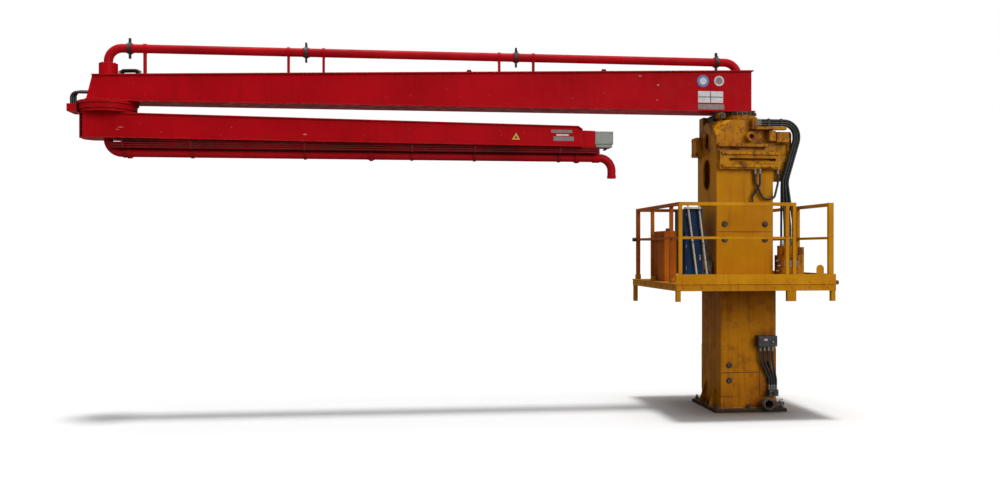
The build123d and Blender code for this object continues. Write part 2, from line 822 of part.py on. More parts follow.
with BuildPart() as side_tank:
    add(block(tank_left, tank_right, tank_front, tank_back, floor_top, tank_top))
side_tank.part.label = "side_tank"

left_valve_right = left_side - left_valve_gap
left_valve_left = left_valve_right - left_valve_width
# x low and high, y low and high, and the top of the blocks that stand between the cabinet and the mast
left_valves = [
    (left_valve_left, left_valve_right, -300, -60, floor_top + left_valve_height),
    (left_valve_left + 40, left_valve_right - 38, -230, -130, floor_top + 672),
]
with BuildPart() as left_valve_block:
    for x0, x1, y0, y1, top in left_valves:
        add(block(x0, x1, y0, y1, floor_top, top))
left_valve_block.part.label = "left_valve_block"

with BuildPart() as valve_block:
    step_z = valve_top - valve_step
    side_y = valve_back - 70  # the middle of the side valve and of the bridge to it
    bridge_z = side_valve_top - 110
    add(block(valve_left, valve_right, valve_front, valve_back, floor_top, step_z))
    add(block(valve_left + 20, valve_right - 20, valve_front + 40, valve_back - 40, step_z, valve_top))
    add(block(side_valve_left, side_valve_right, side_y - 50, side_y + 50, floor_top, side_valve_top))
    add(block(valve_right, side_valve_left + 1, side_y - 30, side_y + 30, bridge_z - 30, bridge_z + 30))
valve_block.part.label = "valve_block"

mast_hose_r = 15
hose_rows = 3
with BuildPart() as mast_hoses:
    for row in range(hose_rows):
        for column in range(2):
            y = face_y - 23 - 37 * column
            top = hose_shelf_top + 26 + 31 * row
            turn_x = right_side + 282 + 33 * row
            end_x = valve_left + 40 + 64 * row + 32 * column
            path = route(
                [
                    (manifold_right + seat_gap, y, top),
                    (turn_x, y, top),
                    (turn_x, y, head_shoulder - 50),
                    (turn_x - 170, y, head_shoulder - 620),
                    (end_x, y, valve_top + 260),
                    (end_x, y, valve_top + seat_gap),
                ],
                [150 + 33 * row, 300, 300, 260],
            )
            with BuildSketch(start_plane(path)):
                Circle(mast_hose_r)
            sweep(path=path)
mast_hoses.part.label = "mast_hoses"

# ---------------------------------------------------------------- arm 1: ring, beam, pipes
with BuildPart() as slew_ring_moving:
    with BuildSketch(Plane.XY.offset(moving_ring_bottom)):
        Circle(ring_r)
        Circle(ring_bore, mode=Mode.SUBTRACT)
    extrude(amount=ring_thick)
    with BuildSketch(Plane.XY.offset(turntable_bottom)):
        Circle(turntable_r)
        Circle(ring_bore, mode=Mode.SUBTRACT)
    extrude(amount=turntable_thick)
slew_ring_moving.part.label = "slew_ring_moving"


def arm1_side(inset, end_inset):
    """The side outline of arm 1, from the tip's foot round to the root's foot."""
    return [
        (arm1_tip_foot + end_inset, arm1_bottom + inset),
        (arm1_tip + end_inset, arm1_tip_top - inset),
        (arm1_root - end_inset, arm1_root_top - inset),
        (arm1_root - end_inset, arm1_bottom + inset),
    ]


with BuildPart() as arm1_beam:
    with BuildSketch(Plane.XZ.offset(-arm1_web_width / 2)):
        with BuildLine():
            Polyline(*arm1_side(arm1_flange, 0), close=True)
        make_face()
    extrude(amount=arm1_web_width)
    inner_width = arm1_web_width - 2 * arm1_web
    with BuildSketch(Plane.XZ.offset(-inner_width / 2)):
        with BuildLine():
            Polyline(*arm1_side(arm1_flange, arm1_flange), close=True)
        make_face()
    extrude(amount=inner_width, mode=Mode.SUBTRACT)
    with BuildSketch(Plane.XZ.offset(-arm1_flange_width / 2)):
        with BuildLine():
            Polyline(
                (arm1_tip, arm1_tip_top),
                (arm1_root + 20, arm1_root_top),
                (arm1_root + 20, arm1_root_top - arm1_flange),
                (arm1_tip, arm1_tip_top - arm1_flange),
                close=True,
            )
        make_face()
        with BuildLine():
            Polyline(
                (arm1_tip_foot, arm1_bottom),
                (arm1_root + 45, arm1_bottom),
                (arm1_root + 45, arm1_bottom + arm1_flange),
                (arm1_tip_foot, arm1_bottom + arm1_flange),
                close=True,
            )
        make_face()
    extrude(amount=arm1_flange_width)
    with Locations((0, 0, arm1_bottom)):
        Cylinder(pipe_r + seat_gap, 4 * arm1_flange, mode=Mode.SUBTRACT)
    with Locations((-12, 0, arm1_root_top)):
        Cylinder(pipe_r + 16, 4 * arm1_flange, mode=Mode.SUBTRACT)
    with Locations((knuckle_x, 0, (arm1_bottom + arm1_tip_top) / 2)):
        Cylinder(pipe_r + seat_gap, 2 * (arm1_tip_top - arm1_bottom), mode=Mode.SUBTRACT)
arm1_beam.part.label = "arm1_beam"

# ends of the straight pipes of arm 1, from the root to the tip
pipe1_joints = [-root_bend_r - 120, -3150, -5970, knuckle_x + tip_bend_r + 95]


def straight_pipe(x0, x1, z):
    """A pipe along X, as a sketch plane and a length."""
    return Plane(origin=(x0, 0, z), x_dir=(0, 1, 0), z_dir=(1, 0, 0)), x1 - x0


with BuildPart() as arm1_root_bend:
    path = route(
        [(pipe1_joints[0] + pipe_joint_gap, 0, pipe1_z), (0, 0, pipe1_z), (0, 0, crown_top + turn_gap)],
        [root_bend_r],
    )
    with BuildSketch(start_plane(path)):
        Circle(pipe_r)
        Circle(pipe_r - pipe_wall, mode=Mode.SUBTRACT)
    sweep(path=path)
arm1_root_bend.part.label = "arm1_root_bend"

with BuildPart() as arm1_pipes:
    for right, left in zip(pipe1_joints, pipe1_joints[1:]):
        plane, length = straight_pipe(left + pipe_joint_gap, right, pipe1_z)
        with BuildSketch(plane):
            Circle(pipe_r)
            Circle(pipe_r - pipe_wall, mode=Mode.SUBTRACT)
        extrude(amount=length)
arm1_pipes.part.label = "arm1_pipes"

with BuildPart() as arm1_tip_bend:
    path = route(
        [(pipe1_joints[-1], 0, pipe1_z), (knuckle_x, 0, pipe1_z), (knuckle_x, 0, knuckle_ring_bottom)],
        [tip_bend_r],
    )
    with BuildSketch(start_plane(path)):
        Circle(pipe_r)
        Circle(pipe_r - pipe_wall, mode=Mode.SUBTRACT)
    sweep(path=path)
arm1_tip_bend.part.label = "arm1_tip_bend"


def pipe_clamp(x, z):
    """A two-part pipe clamp with its bolt ears above and below the pipe."""
    with BuildPart() as clamp:
        with BuildSketch(Plane(origin=(x - clamp_width / 2, 0, z), x_dir=(0, 1, 0), z_dir=(1, 0, 0))):
            Circle(clamp_r)
        extrude(amount=clamp_width)
        with Locations((x, 0, z)):
            Box(clamp_ear_width, clamp_ear_depth, 2 * clamp_ear)
        with Locations((x, 0, z)):
            Cylinder(pipe_r + seat_gap, 2 * clamp_width, rotation=(0, 90, 0), mode=Mode.SUBTRACT)
    return clamp.part


with BuildPart() as arm1_clamps:
    for x in pipe1_joints:
        add(pipe_clamp(x + pipe_joint_gap / 2, pipe1_z))
arm1_clamps.part.label = "arm1_clamps"

clip_r = pipe_r + 10
clip_width = 36
post_size = 30
post_depth = 70
support_places = [knuckle_x + 460, -6200, -5740, -3380, -2910]

with BuildPart() as arm1_supports:
    for x in support_places:
        foot = arm1_top_at(x)
        with Locations((x, 0, foot + seat_gap)):
            Box(post_size, post_depth, pipe1_z - foot - seat_gap, align=bottom_up)
        with Locations((x, 0, pipe1_z)):
            Cylinder(clip_r, clip_width, rotation=(0, 90, 0))
            Cylinder(pipe_r + seat_gap, 2 * clip_width, rotation=(0, 90, 0), mode=Mode.SUBTRACT)
    with BuildSketch(Plane.XZ.offset(-post_depth)):
        with BuildLine():
            Polyline(
                (arm1_tip, arm1_tip_top + seat_gap),
                (arm1_root, arm1_root_top + seat_gap),
                (arm1_root, arm1_bottom),
                (arm1_tip, arm1_bottom),
                close=True,
            )
        make_face()
    extrude(amount=2 * post_depth, mode=Mode.SUBTRACT)
arm1_supports.part.label = "arm1_supports"

lug_places = [-3780, -1890]
lug_height = 95
lug_thick = 20
lug_y = 150
lug_hole_r = 18
with BuildPart() as arm1_lugs:
    for x in lug_places:
        with BuildSketch(Plane.XZ.offset(-lug_y - lug_thick / 2)):
            with BuildLine():
                Polyline(
                    (x - 70, arm1_top_at(x - 70) + seat_gap),
                    (x + 70, arm1_top_at(x + 70) + seat_gap),
                    (x + 25, arm1_top_at(x) + lug_height),
                    (x - 25, arm1_top_at(x) + lug_height),
                    close=True,
                )
            make_face()
            with Locations((x, arm1_top_at(x) + 55)):
                Circle(lug_hole_r, mode=Mode.SUBTRACT)
        extrude(amount=lug_thick)
arm1_lugs.part.label = "arm1_lugs"

# ---------------------------------------------------------------- knuckle
with BuildPart() as knuckle_collar:
    with BuildSketch(Plane(origin=(knuckle_x, 0, arm1_top_at(knuckle_x) + 4))):
        Circle(collar_r)
        Circle(pipe_r + seat_gap, mode=Mode.SUBTRACT)
    extrude(amount=collar_height)
knuckle_collar.part.label = "knuckle_collar"

with BuildPart() as knuckle_housing:
    with BuildSketch(Plane(origin=(knuckle_x, 0, knuckle_plate_bottom))):
        Circle(knuckle_plate_r)
        Circle(pipe_r + seat_gap, mode=Mode.SUBTRACT)
    extrude(amount=knuckle_plate_thick)
    with BuildSketch(Plane(origin=(knuckle_x, 0, knuckle_ring_bottom))):
        Circle(knuckle_ring_r)
        Circle(pipe_r + seat_gap, mode=Mode.SUBTRACT)
    extrude(amount=knuckle_ring_thick)
knuckle_housing.part.label = "knuckle_housing"

worm_x = knuckle_x - knuckle_ring_r - 55
worm_width = 116
worm_height = knuckle_plate_bottom - seat_gap - arm2_top - turn_gap
worm_z = knuckle_plate_bottom - seat_gap - worm_height / 2
worm_length = 330
worm_motor_r = worm_height / 2 - 4
worm_motor_length = 160
with BuildPart() as knuckle_drive:
    with Locations((worm_x, 0, knuckle_plate_bottom - seat_gap)):
        Box(worm_width, worm_length, worm_height, align=top_down)
    with Locations((worm_x, (worm_length + worm_motor_length) / 2, worm_z)):
        Cylinder(worm_motor_r, worm_motor_length, rotation=(90, 0, 0))
    with Locations((knuckle_x, 0, knuckle_plate_bottom)):
        Cylinder(knuckle_ring_r + seat_gap, 3 * worm_height, mode=Mode.SUBTRACT)
knuckle_drive.part.label = "knuckle_drive"

# ---------------------------------------------------------------- arm 2
with BuildPart() as knuckle_ring_lower:
    with BuildSketch(Plane(origin=(knuckle_x, 0, arm2_top))):
        Circle(lower_ring_r)
        Circle(pipe_r + seat_gap, mode=Mode.SUBTRACT)
    extrude(amount=lower_ring_thick)
knuckle_ring_lower.part.label = "knuckle_ring_lower"


def arm2_side(inset, end_inset):
    """The side outline of arm 2, from the knuckle end's foot round to the tip's foot."""
    left = arm2_end + end_inset
    right = arm2_tip - end_inset
    bevel = 60
    return [
        (left, arm2_bottom_at(left) + inset),
        (left, arm2_top_at(left) - inset),
        (right - bevel, arm2_top_at(right - bevel) - inset),
        (right, arm2_top_at(right) - bevel * 2 / 3 - inset),
        (right, arm2_bottom_at(right) + inset),
    ]


with BuildPart() as arm2_beam:
    with BuildSketch(Plane.XZ.offset(-arm2_web_width / 2)):
        with BuildLine():
            Polyline(*arm2_side(arm2_flange, 0), close=True)
        make_face()
    extrude(amount=arm2_web_width)
    inner_width = arm2_web_width - 2 * arm2_web
    with BuildSketch(Plane.XZ.offset(-inner_width / 2)):
        with BuildLine():
            Polyline(*arm2_side(arm2_flange, arm2_flange), close=True)
        make_face()
    extrude(amount=inner_width, mode=Mode.SUBTRACT)
    outer = arm2_side(0, 0)
    inner = arm2_side(arm2_flange, 0)
    with BuildSketch(Plane.XZ.offset(-arm2_flange_width / 2)):
        with BuildLine():
            Polyline(outer[1], outer[2], outer[3], inner[3], inner[2], inner[1], close=True)
        make_face()
        with BuildLine():
            Polyline(outer[0], outer[4], inner[4], inner[0], close=True)
        make_face()
    extrude(amount=arm2_flange_width)
    with BuildSketch(Plane.XY.offset(arm2_tip_bottom - 50)):
        with BuildLine():
            Polyline(
                (arm2_end, arm2_flange_width / 2 - arm2_chamfer),
                (arm2_end + arm2_chamfer, arm2_flange_width / 2),
                (arm2_tip, arm2_flange_width / 2),
                (arm2_tip, -arm2_flange_width / 2),
                (arm2_end + arm2_chamfer, -arm2_flange_width / 2),
                (arm2_end, -arm2_flange_width / 2 + arm2_chamfer),
                close=True,
            )
        make_face()
    extrude(amount=arm2_top - arm2_tip_bottom + 100, mode=Mode.INTERSECT)
    with Locations((knuckle_x, 0, (arm2_top + arm2_bottom) / 2)):
        Cylinder(pipe_r + seat_gap, 2 * (arm2_top - arm2_bottom), mode=Mode.SUBTRACT)
arm2_beam.part.label = "arm2_beam"

with BuildPart() as arm2_tip_piece:
    with BuildSketch(Plane.XZ.offset(-tip_piece_width / 2)):
        with BuildLine():
            Polyline(
                (arm2_tip + seat_gap, arm2_tip_bottom),
                (arm2_tip + seat_gap, arm2_tip_top - 50),
                (tip_piece_end, arm2_tip_top - 55),
                (tip_piece_end, arm2_tip_bottom),
                close=True,
            )
        make_face()
    extrude(amount=tip_piece_width)
arm2_tip_piece.part.label = "arm2_tip_piece"

with BuildPart() as tip_box:
    with Locations(((tip_piece_end + tip_box_end) / 2, 0, tip_box_bottom)):
        Box(tip_box_length - 2 * seat_gap, tip_box_width, tip_box_height, align=bottom_up)
        Box(tip_box_length - 24, tip_box_width - 24, tip_box_rise - 3, align=top_down)
tip_box.part.label = "tip_box"

# ends of the straight pipes of arm 2, from the knuckle to the outlet
pipe2_joints = [knuckle_x + tip_bend_r + 95, -5110, arm2_tip - 50]

with BuildPart() as arm2_inlet_bend:
    path = route(
        [
            (knuckle_x, 0, knuckle_ring_bottom - turn_gap),
            (knuckle_x, 0, pipe2_z),
            (pipe2_joints[0], 0, pipe2_z),
        ],
        [tip_bend_r],
    )
    with BuildSketch(start_plane(path)):
        Circle(pipe_r)
        Circle(pipe_r - pipe_wall, mode=Mode.SUBTRACT)
    sweep(path=path)
arm2_inlet_bend.part.label = "arm2_inlet_bend"

with BuildPart() as arm2_pipes:
    for left, right in zip(pipe2_joints, pipe2_joints[1:]):
        plane, length = straight_pipe(left + pipe_joint_gap, right, pipe2_z)
        with BuildSketch(plane):
            Circle(pipe_r)
            Circle(pipe_r - pipe_wall, mode=Mode.SUBTRACT)
        extrude(amount=length)
arm2_pipes.part.label = "arm2_pipes"

end_ring_length = 40
with BuildPart() as arm2_outlet_bend:
    path = route(
        [
            (pipe2_joints[-1] + pipe_joint_gap, 0, pipe2_z),
            (outlet_x, 0, pipe2_z),
            (outlet_x, 0, outlet_z + end_ring_length),
        ],
        [tip_bend_r],
    )
    with BuildSketch(start_plane(path)):
        Circle(pipe_r)
        Circle(pipe_r - pipe_wall, mode=Mode.SUBTRACT)
    sweep(path=path)
arm2_outlet_bend.part.label = "arm2_outlet_bend"

with BuildPart() as outlet_end_ring:
    with BuildSketch(Plane(origin=(outlet_x, 0, outlet_z))):
        Circle(pipe_r + 4)
        Circle(pipe_r - pipe_wall, mode=Mode.SUBTRACT)
    extrude(amount=end_ring_length)
outlet_end_ring.part.label = "outlet_end_ring"

with BuildPart() as arm2_clamps:
    for x in pipe2_joints:
        with BuildSketch(Plane(origin=(x - clamp_width / 2, 0, pipe2_z), x_dir=(0, 1, 0), z_dir=(1, 0, 0))):
            Circle(clamp_r)
            Circle(pipe_r + seat_gap, mode=Mode.SUBTRACT)
        extrude(amount=clamp_width)
arm2_clamps.part.label = "arm2_clamps"

hanger_places = [knuckle_x + 210, -7435, -5980, -4568, -3720, arm2_tip - 300]
line_r = 12
line_rise = [-28, 0, 28]  # the three rows of lines, about the middle of the bundle
line_offsets = [-125, -95, 95, 125]
bundle_z = arm2_tip_bottom - 45
hanger_block_width = 78
hanger_block_height = 82

with BuildPart() as arm2_hangers:
    for x in hanger_places:
        under = arm2_bottom_at(x) - seat_gap
        with Locations((x, 0, under)):
            Box(post_size, 60, under - pipe2_z, align=top_down)
            Box(post_size, 2 * line_offsets[-1] + hanger_block_width / 2, 10, align=top_down)
        for side in (-1, 1):
            with Locations((x, side * (line_offsets[2] + line_offsets[3]) / 2, under)):
                Box(
                    post_size,
                    hanger_block_width,
                    under - bundle_z + hanger_block_height / 2,
                    align=top_down,
                )
        with Locations(*[(x, offset, bundle_z + rise) for offset in line_offsets for rise in line_rise]):
            Cylinder(line_r + seat_gap, 2 * post_size, rotation=(0, 90, 0), mode=Mode.SUBTRACT)
        with Locations((x, 0, pipe2_z)):
            Cylinder(clip_r, clip_width, rotation=(0, 90, 0))
            Cylinder(pipe_r + seat_gap, 2 * clip_width, rotation=(0, 90, 0), mode=Mode.SUBTRACT)
arm2_hangers.part.label = "arm2_hangers"

line_start = knuckle_x + 50
line_end = tip_piece_end + 60
with BuildPart() as arm2_lines:
    for rise in line_rise:
        plane, length = straight_pipe(line_start, line_end, bundle_z + rise)
        with BuildSketch(plane):
            with Locations(*[(offset, 0) for offset in line_offsets]):
                Circle(line_r)
        extrude(amount=length)
arm2_lines.part.label = "arm2_lines"

with BuildPart() as outlet_bracket:
    bracket_x = outlet_x - tip_bend_r - 50
    bracket_top = arm2_tip_bottom - seat_gap
    with Locations((bracket_x, 0, bracket_top)):
        Box(90, 70, bracket_top - pipe2_z, align=top_down)
    with Locations((bracket_x, 0, pipe2_z)):
        Cylinder(clip_r, 90, rotation=(0, 90, 0))
    with Locations((bracket_x, 0, pipe2_z)):
        Cylinder(pipe_r + seat_gap, 200, rotation=(0, 90, 0), mode=Mode.SUBTRACT)
outlet_bracket.part.label = "outlet_bracket"

# ---------------------------------------------------------------- hoses on the arms
tip_hose_r = 13
with BuildPart() as arm1_tip_hoses:
    for n in range(4):
        y = -66 + 44 * n
        right = knuckle_x + 415 - 18 * n
        left = knuckle_x + 160 - 6 * n
        top = arm1_top_at(left) + 84
        path = route(
            [
                (right, y, arm1_top_at(right) + 2 * seat_gap),
                (right, y, top),
                (left, y, top - 8),
                (left, y, arm1_top_at(left) + 2 * seat_gap),
            ],
            [58, 58],
        )
        with BuildSketch(start_plane(path)):
            Circle(tip_hose_r)
        sweep(path=path)
arm1_tip_hoses.part.label = "arm1_tip_hoses"

knuckle_hose_r = 18
with BuildPart() as knuckle_hoses:
    for n in range(3):
        y = -90 + 45 * n
        start_z = knuckle_plate_bottom + seat_gap
        left = worm_x - 22 + 10 * n
        rise = arm1_bottom + 120 + 12 * n
        wall_foot = arm1_bottom + arm1_flange
        wall_head = arm1_tip_top - arm1_flange
        wall_x = line_at(rise - knuckle_hose_r, wall_foot, arm1_tip_foot, wall_head, arm1_tip)
        path = route(
            [
                (left, y, start_z),
                (left, y, rise),
                (wall_x - seat_gap, y, rise),
            ],
            [72],
        )
        with BuildSketch(start_plane(path)):
            Circle(knuckle_hose_r)
        sweep(path=path)
knuckle_hoses.part.label = "knuckle_hoses"

# ---------------------------------------------------------------- files
mast = [
    base_plate, mast_foot, mast_lower_section, mast_middle_section, mast_upper_section, mast_joint_pins,
    mast_head, head_slot_frame, head_brackets, head_side_bracket, head_hoses, slew_drive, slew_ring_fixed,
    concrete_riser, inlet_ring, junction_box, foot_block, foot_hoses, platform_frame, platform_floor,
    toe_boards, railing_front, railing_left, railing_rear, railing_right, blue_cabinet, cabinet_front_panel,
    platform_conduits, side_tank, left_valve_block, valve_block, mast_hoses,
]
boom_arm_1 = [
    slew_ring_moving, arm1_beam, arm1_root_bend, arm1_pipes, arm1_tip_bend, arm1_clamps, arm1_supports,
    arm1_lugs, arm1_tip_hoses, knuckle_collar, knuckle_housing, knuckle_drive, knuckle_hoses,
]
boom_arm_2 = [
    knuckle_ring_lower, arm2_beam, arm2_tip_piece, tip_box, arm2_inlet_bend, arm2_pipes, arm2_outlet_bend,
    outlet_end_ring, arm2_clamps, arm2_hangers, arm2_lines, outlet_bracket,
]
for piece in mast + boom_arm_1 + boom_arm_2:
    export_step(piece.part, f"parts/{piece.part.label}.step")
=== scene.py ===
"""The looks of a stationary concrete placing boom: paint, wear, welds, fasteners and small fittings.

Metres, in the model's own frame: +Z is up, the arms lie along -X, and the front of the platform faces -Y.
"""

import json
import math
import random

import bmesh
import bpy
from mathutils import Matrix, Vector


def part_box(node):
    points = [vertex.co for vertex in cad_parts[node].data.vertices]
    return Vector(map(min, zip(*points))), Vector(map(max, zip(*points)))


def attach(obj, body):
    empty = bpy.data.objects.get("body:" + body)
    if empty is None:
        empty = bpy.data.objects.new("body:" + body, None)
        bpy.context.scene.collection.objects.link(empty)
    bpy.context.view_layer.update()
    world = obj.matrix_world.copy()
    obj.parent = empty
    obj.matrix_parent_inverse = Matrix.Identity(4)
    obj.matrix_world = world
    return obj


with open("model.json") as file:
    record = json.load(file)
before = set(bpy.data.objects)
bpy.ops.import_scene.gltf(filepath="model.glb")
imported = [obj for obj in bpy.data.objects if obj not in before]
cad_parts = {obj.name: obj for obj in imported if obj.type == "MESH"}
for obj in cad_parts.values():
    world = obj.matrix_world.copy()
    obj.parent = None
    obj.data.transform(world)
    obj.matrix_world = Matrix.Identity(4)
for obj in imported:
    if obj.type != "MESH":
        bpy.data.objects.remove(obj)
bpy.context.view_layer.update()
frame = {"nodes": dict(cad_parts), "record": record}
nodes = frame["nodes"]
bodies = frame["record"]["behaviour"]["bodies"]
random.seed(7)


# ---------------- camera, floor and light
def add_camera():
    data = bpy.data.cameras.new("camera")
    data.lens = 33.5
    data.sensor_width = 36
    data.clip_end = 400
    camera = bpy.data.objects.new("camera", data)
    camera.location = (-4.83, -12.62, 2.2)
    camera.rotation_euler = Vector((0.115, 0.993, 0)).to_track_quat("-Z", "Y").to_euler()
    bpy.context.scene.collection.objects.link(camera)
    bpy.context.scene.camera = camera


def add_sun(name, toward, energy, angle, unlit=None):
    """A far soft lamp; the collection of unlit objects takes no light from it."""
    data = bpy.data.lights.new(name, "SUN")
    data.energy = energy
    data.angle = math.radians(angle)
    lamp = bpy.data.objects.new(name, data)
    lamp.rotation_euler = Vector(toward).to_track_quat("-Z", "Y").to_euler()
    bpy.context.scene.collection.objects.link(lamp)
    if unlit is not None:
        lamp.light_linking.receiver_collection = unlit
        for member in unlit.collection_objects:
            member.light_linking.link_state = "EXCLUDE"


def seen_directly(tree):
    """1 for camera rays, which see the white background, and less for reflections of it."""
    path = node(tree, "LightPath")
    glossy = math_node(tree, "MULTIPLY", path.outputs["Is Glossy Ray"], 0.15)
    return math_node(tree, "MAXIMUM", path.outputs["Is Camera Ray"], glossy)


def add_world():
    world = bpy.data.worlds.new("studio")
    bpy.context.scene.world = world
    world.use_nodes = True
    tree = world.node_tree
    tree.nodes.clear()
    soft = node(tree, "Background", {"Color": (1, 1, 1, 1), "Strength": 0.17})
    white = node(tree, "Background", {"Color": (1, 1, 1, 1), "Strength": 1.0})
    either = node(tree, "MixShader", {0: seen_directly(tree), 1: soft.outputs[0], 2: white.outputs[0]})
    node(tree, "OutputWorld", {"Surface": either.outputs[0]})


def add_floor():
    mesh = bpy.data.meshes.new("floor")
    reach = 150
    corners = [(sx * reach, sy * reach, 0) for sx, sy in ((-1, -1), (1, -1), (1, 1), (-1, 1))]
    mesh.from_pydata(corners, [], [(0, 1, 2, 3)])
    floor = bpy.data.objects.new("floor", mesh)
    bpy.context.scene.collection.objects.link(floor)
    material = bpy.data.materials.new("floor")
    material.use_nodes = True
    tree = material.node_tree
    tree.nodes.clear()
    path = node(tree, "LightPath")
    tone = mixed(tree, path.outputs["Is Camera Ray"], (0.24, 0.23, 0.22), (0.82, 0.82, 0.82))
    matte = node(tree, "BsdfDiffuse", {"Color": tone})
    glow = node(tree, "Emission", {"Color": (1, 1, 1, 1), "Strength": 0.01})
    shown = node(tree, "MixShader", {0: path.outputs["Is Camera Ray"], 2: glow.outputs[0]})
    both = node(tree, "AddShader", {0: matte.outputs[0], 1: shown.outputs[0]})
    node(tree, "OutputMaterial", {"Surface": both.outputs[0]})
    mesh.materials.append(material)
    return floor


# ---------------- shader helpers
def node(tree, kind, inputs=None, **settings):
    """A shader node with its settings, and its inputs given as values or as the sockets that drive them."""
    made = tree.nodes.new("ShaderNode" + kind)
    for key, value in settings.items():
        setattr(made, key, value)
    for key, value in (inputs or {}).items():
        if isinstance(value, bpy.types.NodeSocket):
            tree.links.new(value, made.inputs[key])
        else:
            made.inputs[key].default_value = value
    return made


def math_node(tree, operation, a, b=0.0):
    return node(tree, "Math", {0: a, 1: b}, operation=operation).outputs[0]


def stretched(tree, scale):
    coordinates = node(tree, "TexCoord")
    return node(tree, "Mapping", {"Vector": coordinates.outputs["Object"], "Scale": scale}).outputs[0]


def noise(tree, scale, detail=4.0, stretch=(1, 1, 1), rough=0.55):
    inputs = {"Vector": stretched(tree, stretch), "Scale": scale, "Detail": detail, "Roughness": rough}
    return node(tree, "TexNoise", inputs).outputs[0]


def band(tree, value, low, high, to_low=0.0, to_high=1.0):
    """The value carried from low..high to to_low..to_high, and held there outside."""
    inputs = {"Value": value, "From Min": low, "From Max": high, "To Min": to_low, "To Max": to_high}
    return node(tree, "MapRange", inputs).outputs[0]


def mixed(tree, share, a, b):
    """Colour a, or b where share is 1."""
    made = node(tree, "Mix", data_type="RGBA")
    for socket, value in ((made.inputs[0], share), (made.inputs[6], a), (made.inputs[7], b)):
        if isinstance(value, bpy.types.NodeSocket):
            tree.links.new(value, socket)
        elif isinstance(value, (int, float)):
            socket.default_value = value
        else:
            socket.default_value = (*value, 1)
    return made.outputs[2]


def product(tree, *values):
    result = values[0]
    for value in values[1:]:
        result = math_node(tree, "MULTIPLY", result, value)
    return result


def edge_share(tree, reach):
    """Near 1 on convex edges and corners within reach, and 0 on flat faces."""
    rounded = node(tree, "Bevel", {"Radius": reach}, samples=6)
    geometry = node(tree, "NewGeometry")
    agree = node(
        tree, "VectorMath", {0: rounded.outputs[0], 1: geometry.outputs["Normal"]}, operation="DOT_PRODUCT"
    )
    return band(tree, agree.outputs["Value"], 0.995, 0.86)


def crevice_shade_share(tree, reach):
    """Near 1 in corners and under things, and 0 on open faces; it places painted shade there."""
    shade = node(tree, "AmbientOcclusion", {"Distance": reach}, samples=6)
    return band(tree, shade.outputs["AO"], 0.95, 0.35)


def up_share(tree):
    geometry = node(tree, "NewGeometry")
    parts = node(tree, "SeparateXYZ", {0: geometry.outputs["Normal"]})
    return band(tree, parts.outputs[2], 0.55, 0.95)


def finished(name, colour, rough, bump, metallic=0.0, bump_strength=0.2, bump_distance=0.002, specular=0.5):
    """Colour and bump build nodes; rough is a noise's scale and detail, and the roughnesses it spans."""
    material = bpy.data.materials.new(name)
    material.use_nodes = True
    tree = material.node_tree
    tree.nodes.clear()
    shader = node(tree, "BsdfPrincipled", {"Metallic": metallic, "Specular IOR Level": specular})
    tree.links.new(colour(tree), shader.inputs["Base Color"])
    scale, detail, smoothest, roughest = rough
    roughness = band(tree, noise(tree, scale, detail), 0.3, 0.7, smoothest, roughest)
    tree.links.new(roughness, shader.inputs["Roughness"])
    raised = node(tree, "Bump", {"Strength": bump_strength, "Distance": bump_distance, "Height": bump(tree)})
    tree.links.new(raised.outputs[0], shader.inputs["Normal"])
    node(tree, "OutputMaterial", {"Surface": shader.outputs[0]})
    return material


# ---------------- materials
RUST = (0.13, 0.045, 0.016)
# the colour of dirt, and of the painted shade in corners
GRIME_AND_SHADE = (0.035, 0.026, 0.02)
DUST = (0.42, 0.39, 0.34)


def worn_paint(
    name, paint, deep, under=RUST, grime=0.5, streaks=0.4, chips=0.4, dust=0.15, gloss=0.34,
    grime_colour=GRIME_AND_SHADE, blotches=0.0, specular=0.07,
):
    """Machine paint: uneven colour, dirt and painted shade in the corners, dirt in streaks, chipped edges and
    a dusty top.
    """

    def colour(tree):
        result = mixed(tree, band(tree, noise(tree, 1.3, 5), 0.34, 0.68), paint, deep)
        result = mixed(tree, band(tree, noise(tree, 55, 3), 0.5, 0.75, 0, 0.28), result, deep)
        runs = band(tree, noise(tree, 5, 5, (3.2, 3.2, 0.22)), 0.5, 0.74, 0, streaks)
        result = mixed(tree, runs, result, grime_colour)
        if blotches:
            spread = band(tree, noise(tree, 6, 8, rough=0.7), 0.5, 0.62, 0, blotches)
            result = mixed(tree, spread, result, grime_colour)
        patches = band(tree, noise(tree, 9, 6), 0.38, 0.62)
        # painted shade: corners and undersides, found by ambient occlusion, take the grime colour as dirt and
        # as shade
        result = mixed(tree, product(tree, crevice_shade_share(tree, 0.12), patches, grime), result, grime_colour)
        result = mixed(tree, product(tree, up_share(tree), patches, dust), result, DUST)
        worn = band(tree, noise(tree, 38, 5), 0.5 - 0.12 * chips, 0.58)
        # pale worn edges; on the red paint also a painted edge highlight
        worn_and_sheen_edges = product(tree, edge_share(tree, 0.006), worn, min(1.0, 1.6 * chips))
        result = mixed(tree, worn_and_sheen_edges, result, under)
        nicks = band(tree, noise(tree, 17, 7, rough=0.7), 0.715 - 0.03 * chips, 0.735)
        return mixed(tree, nicks, result, under)

    def bump(tree):
        return math_node(tree, "ADD", noise(tree, 120, 2), product(tree, noise(tree, 6, 4), 0.8))

    return finished(name, colour, (7, 5, gloss, gloss + 0.26), bump, 0.0, 0.18, 0.0015, specular)


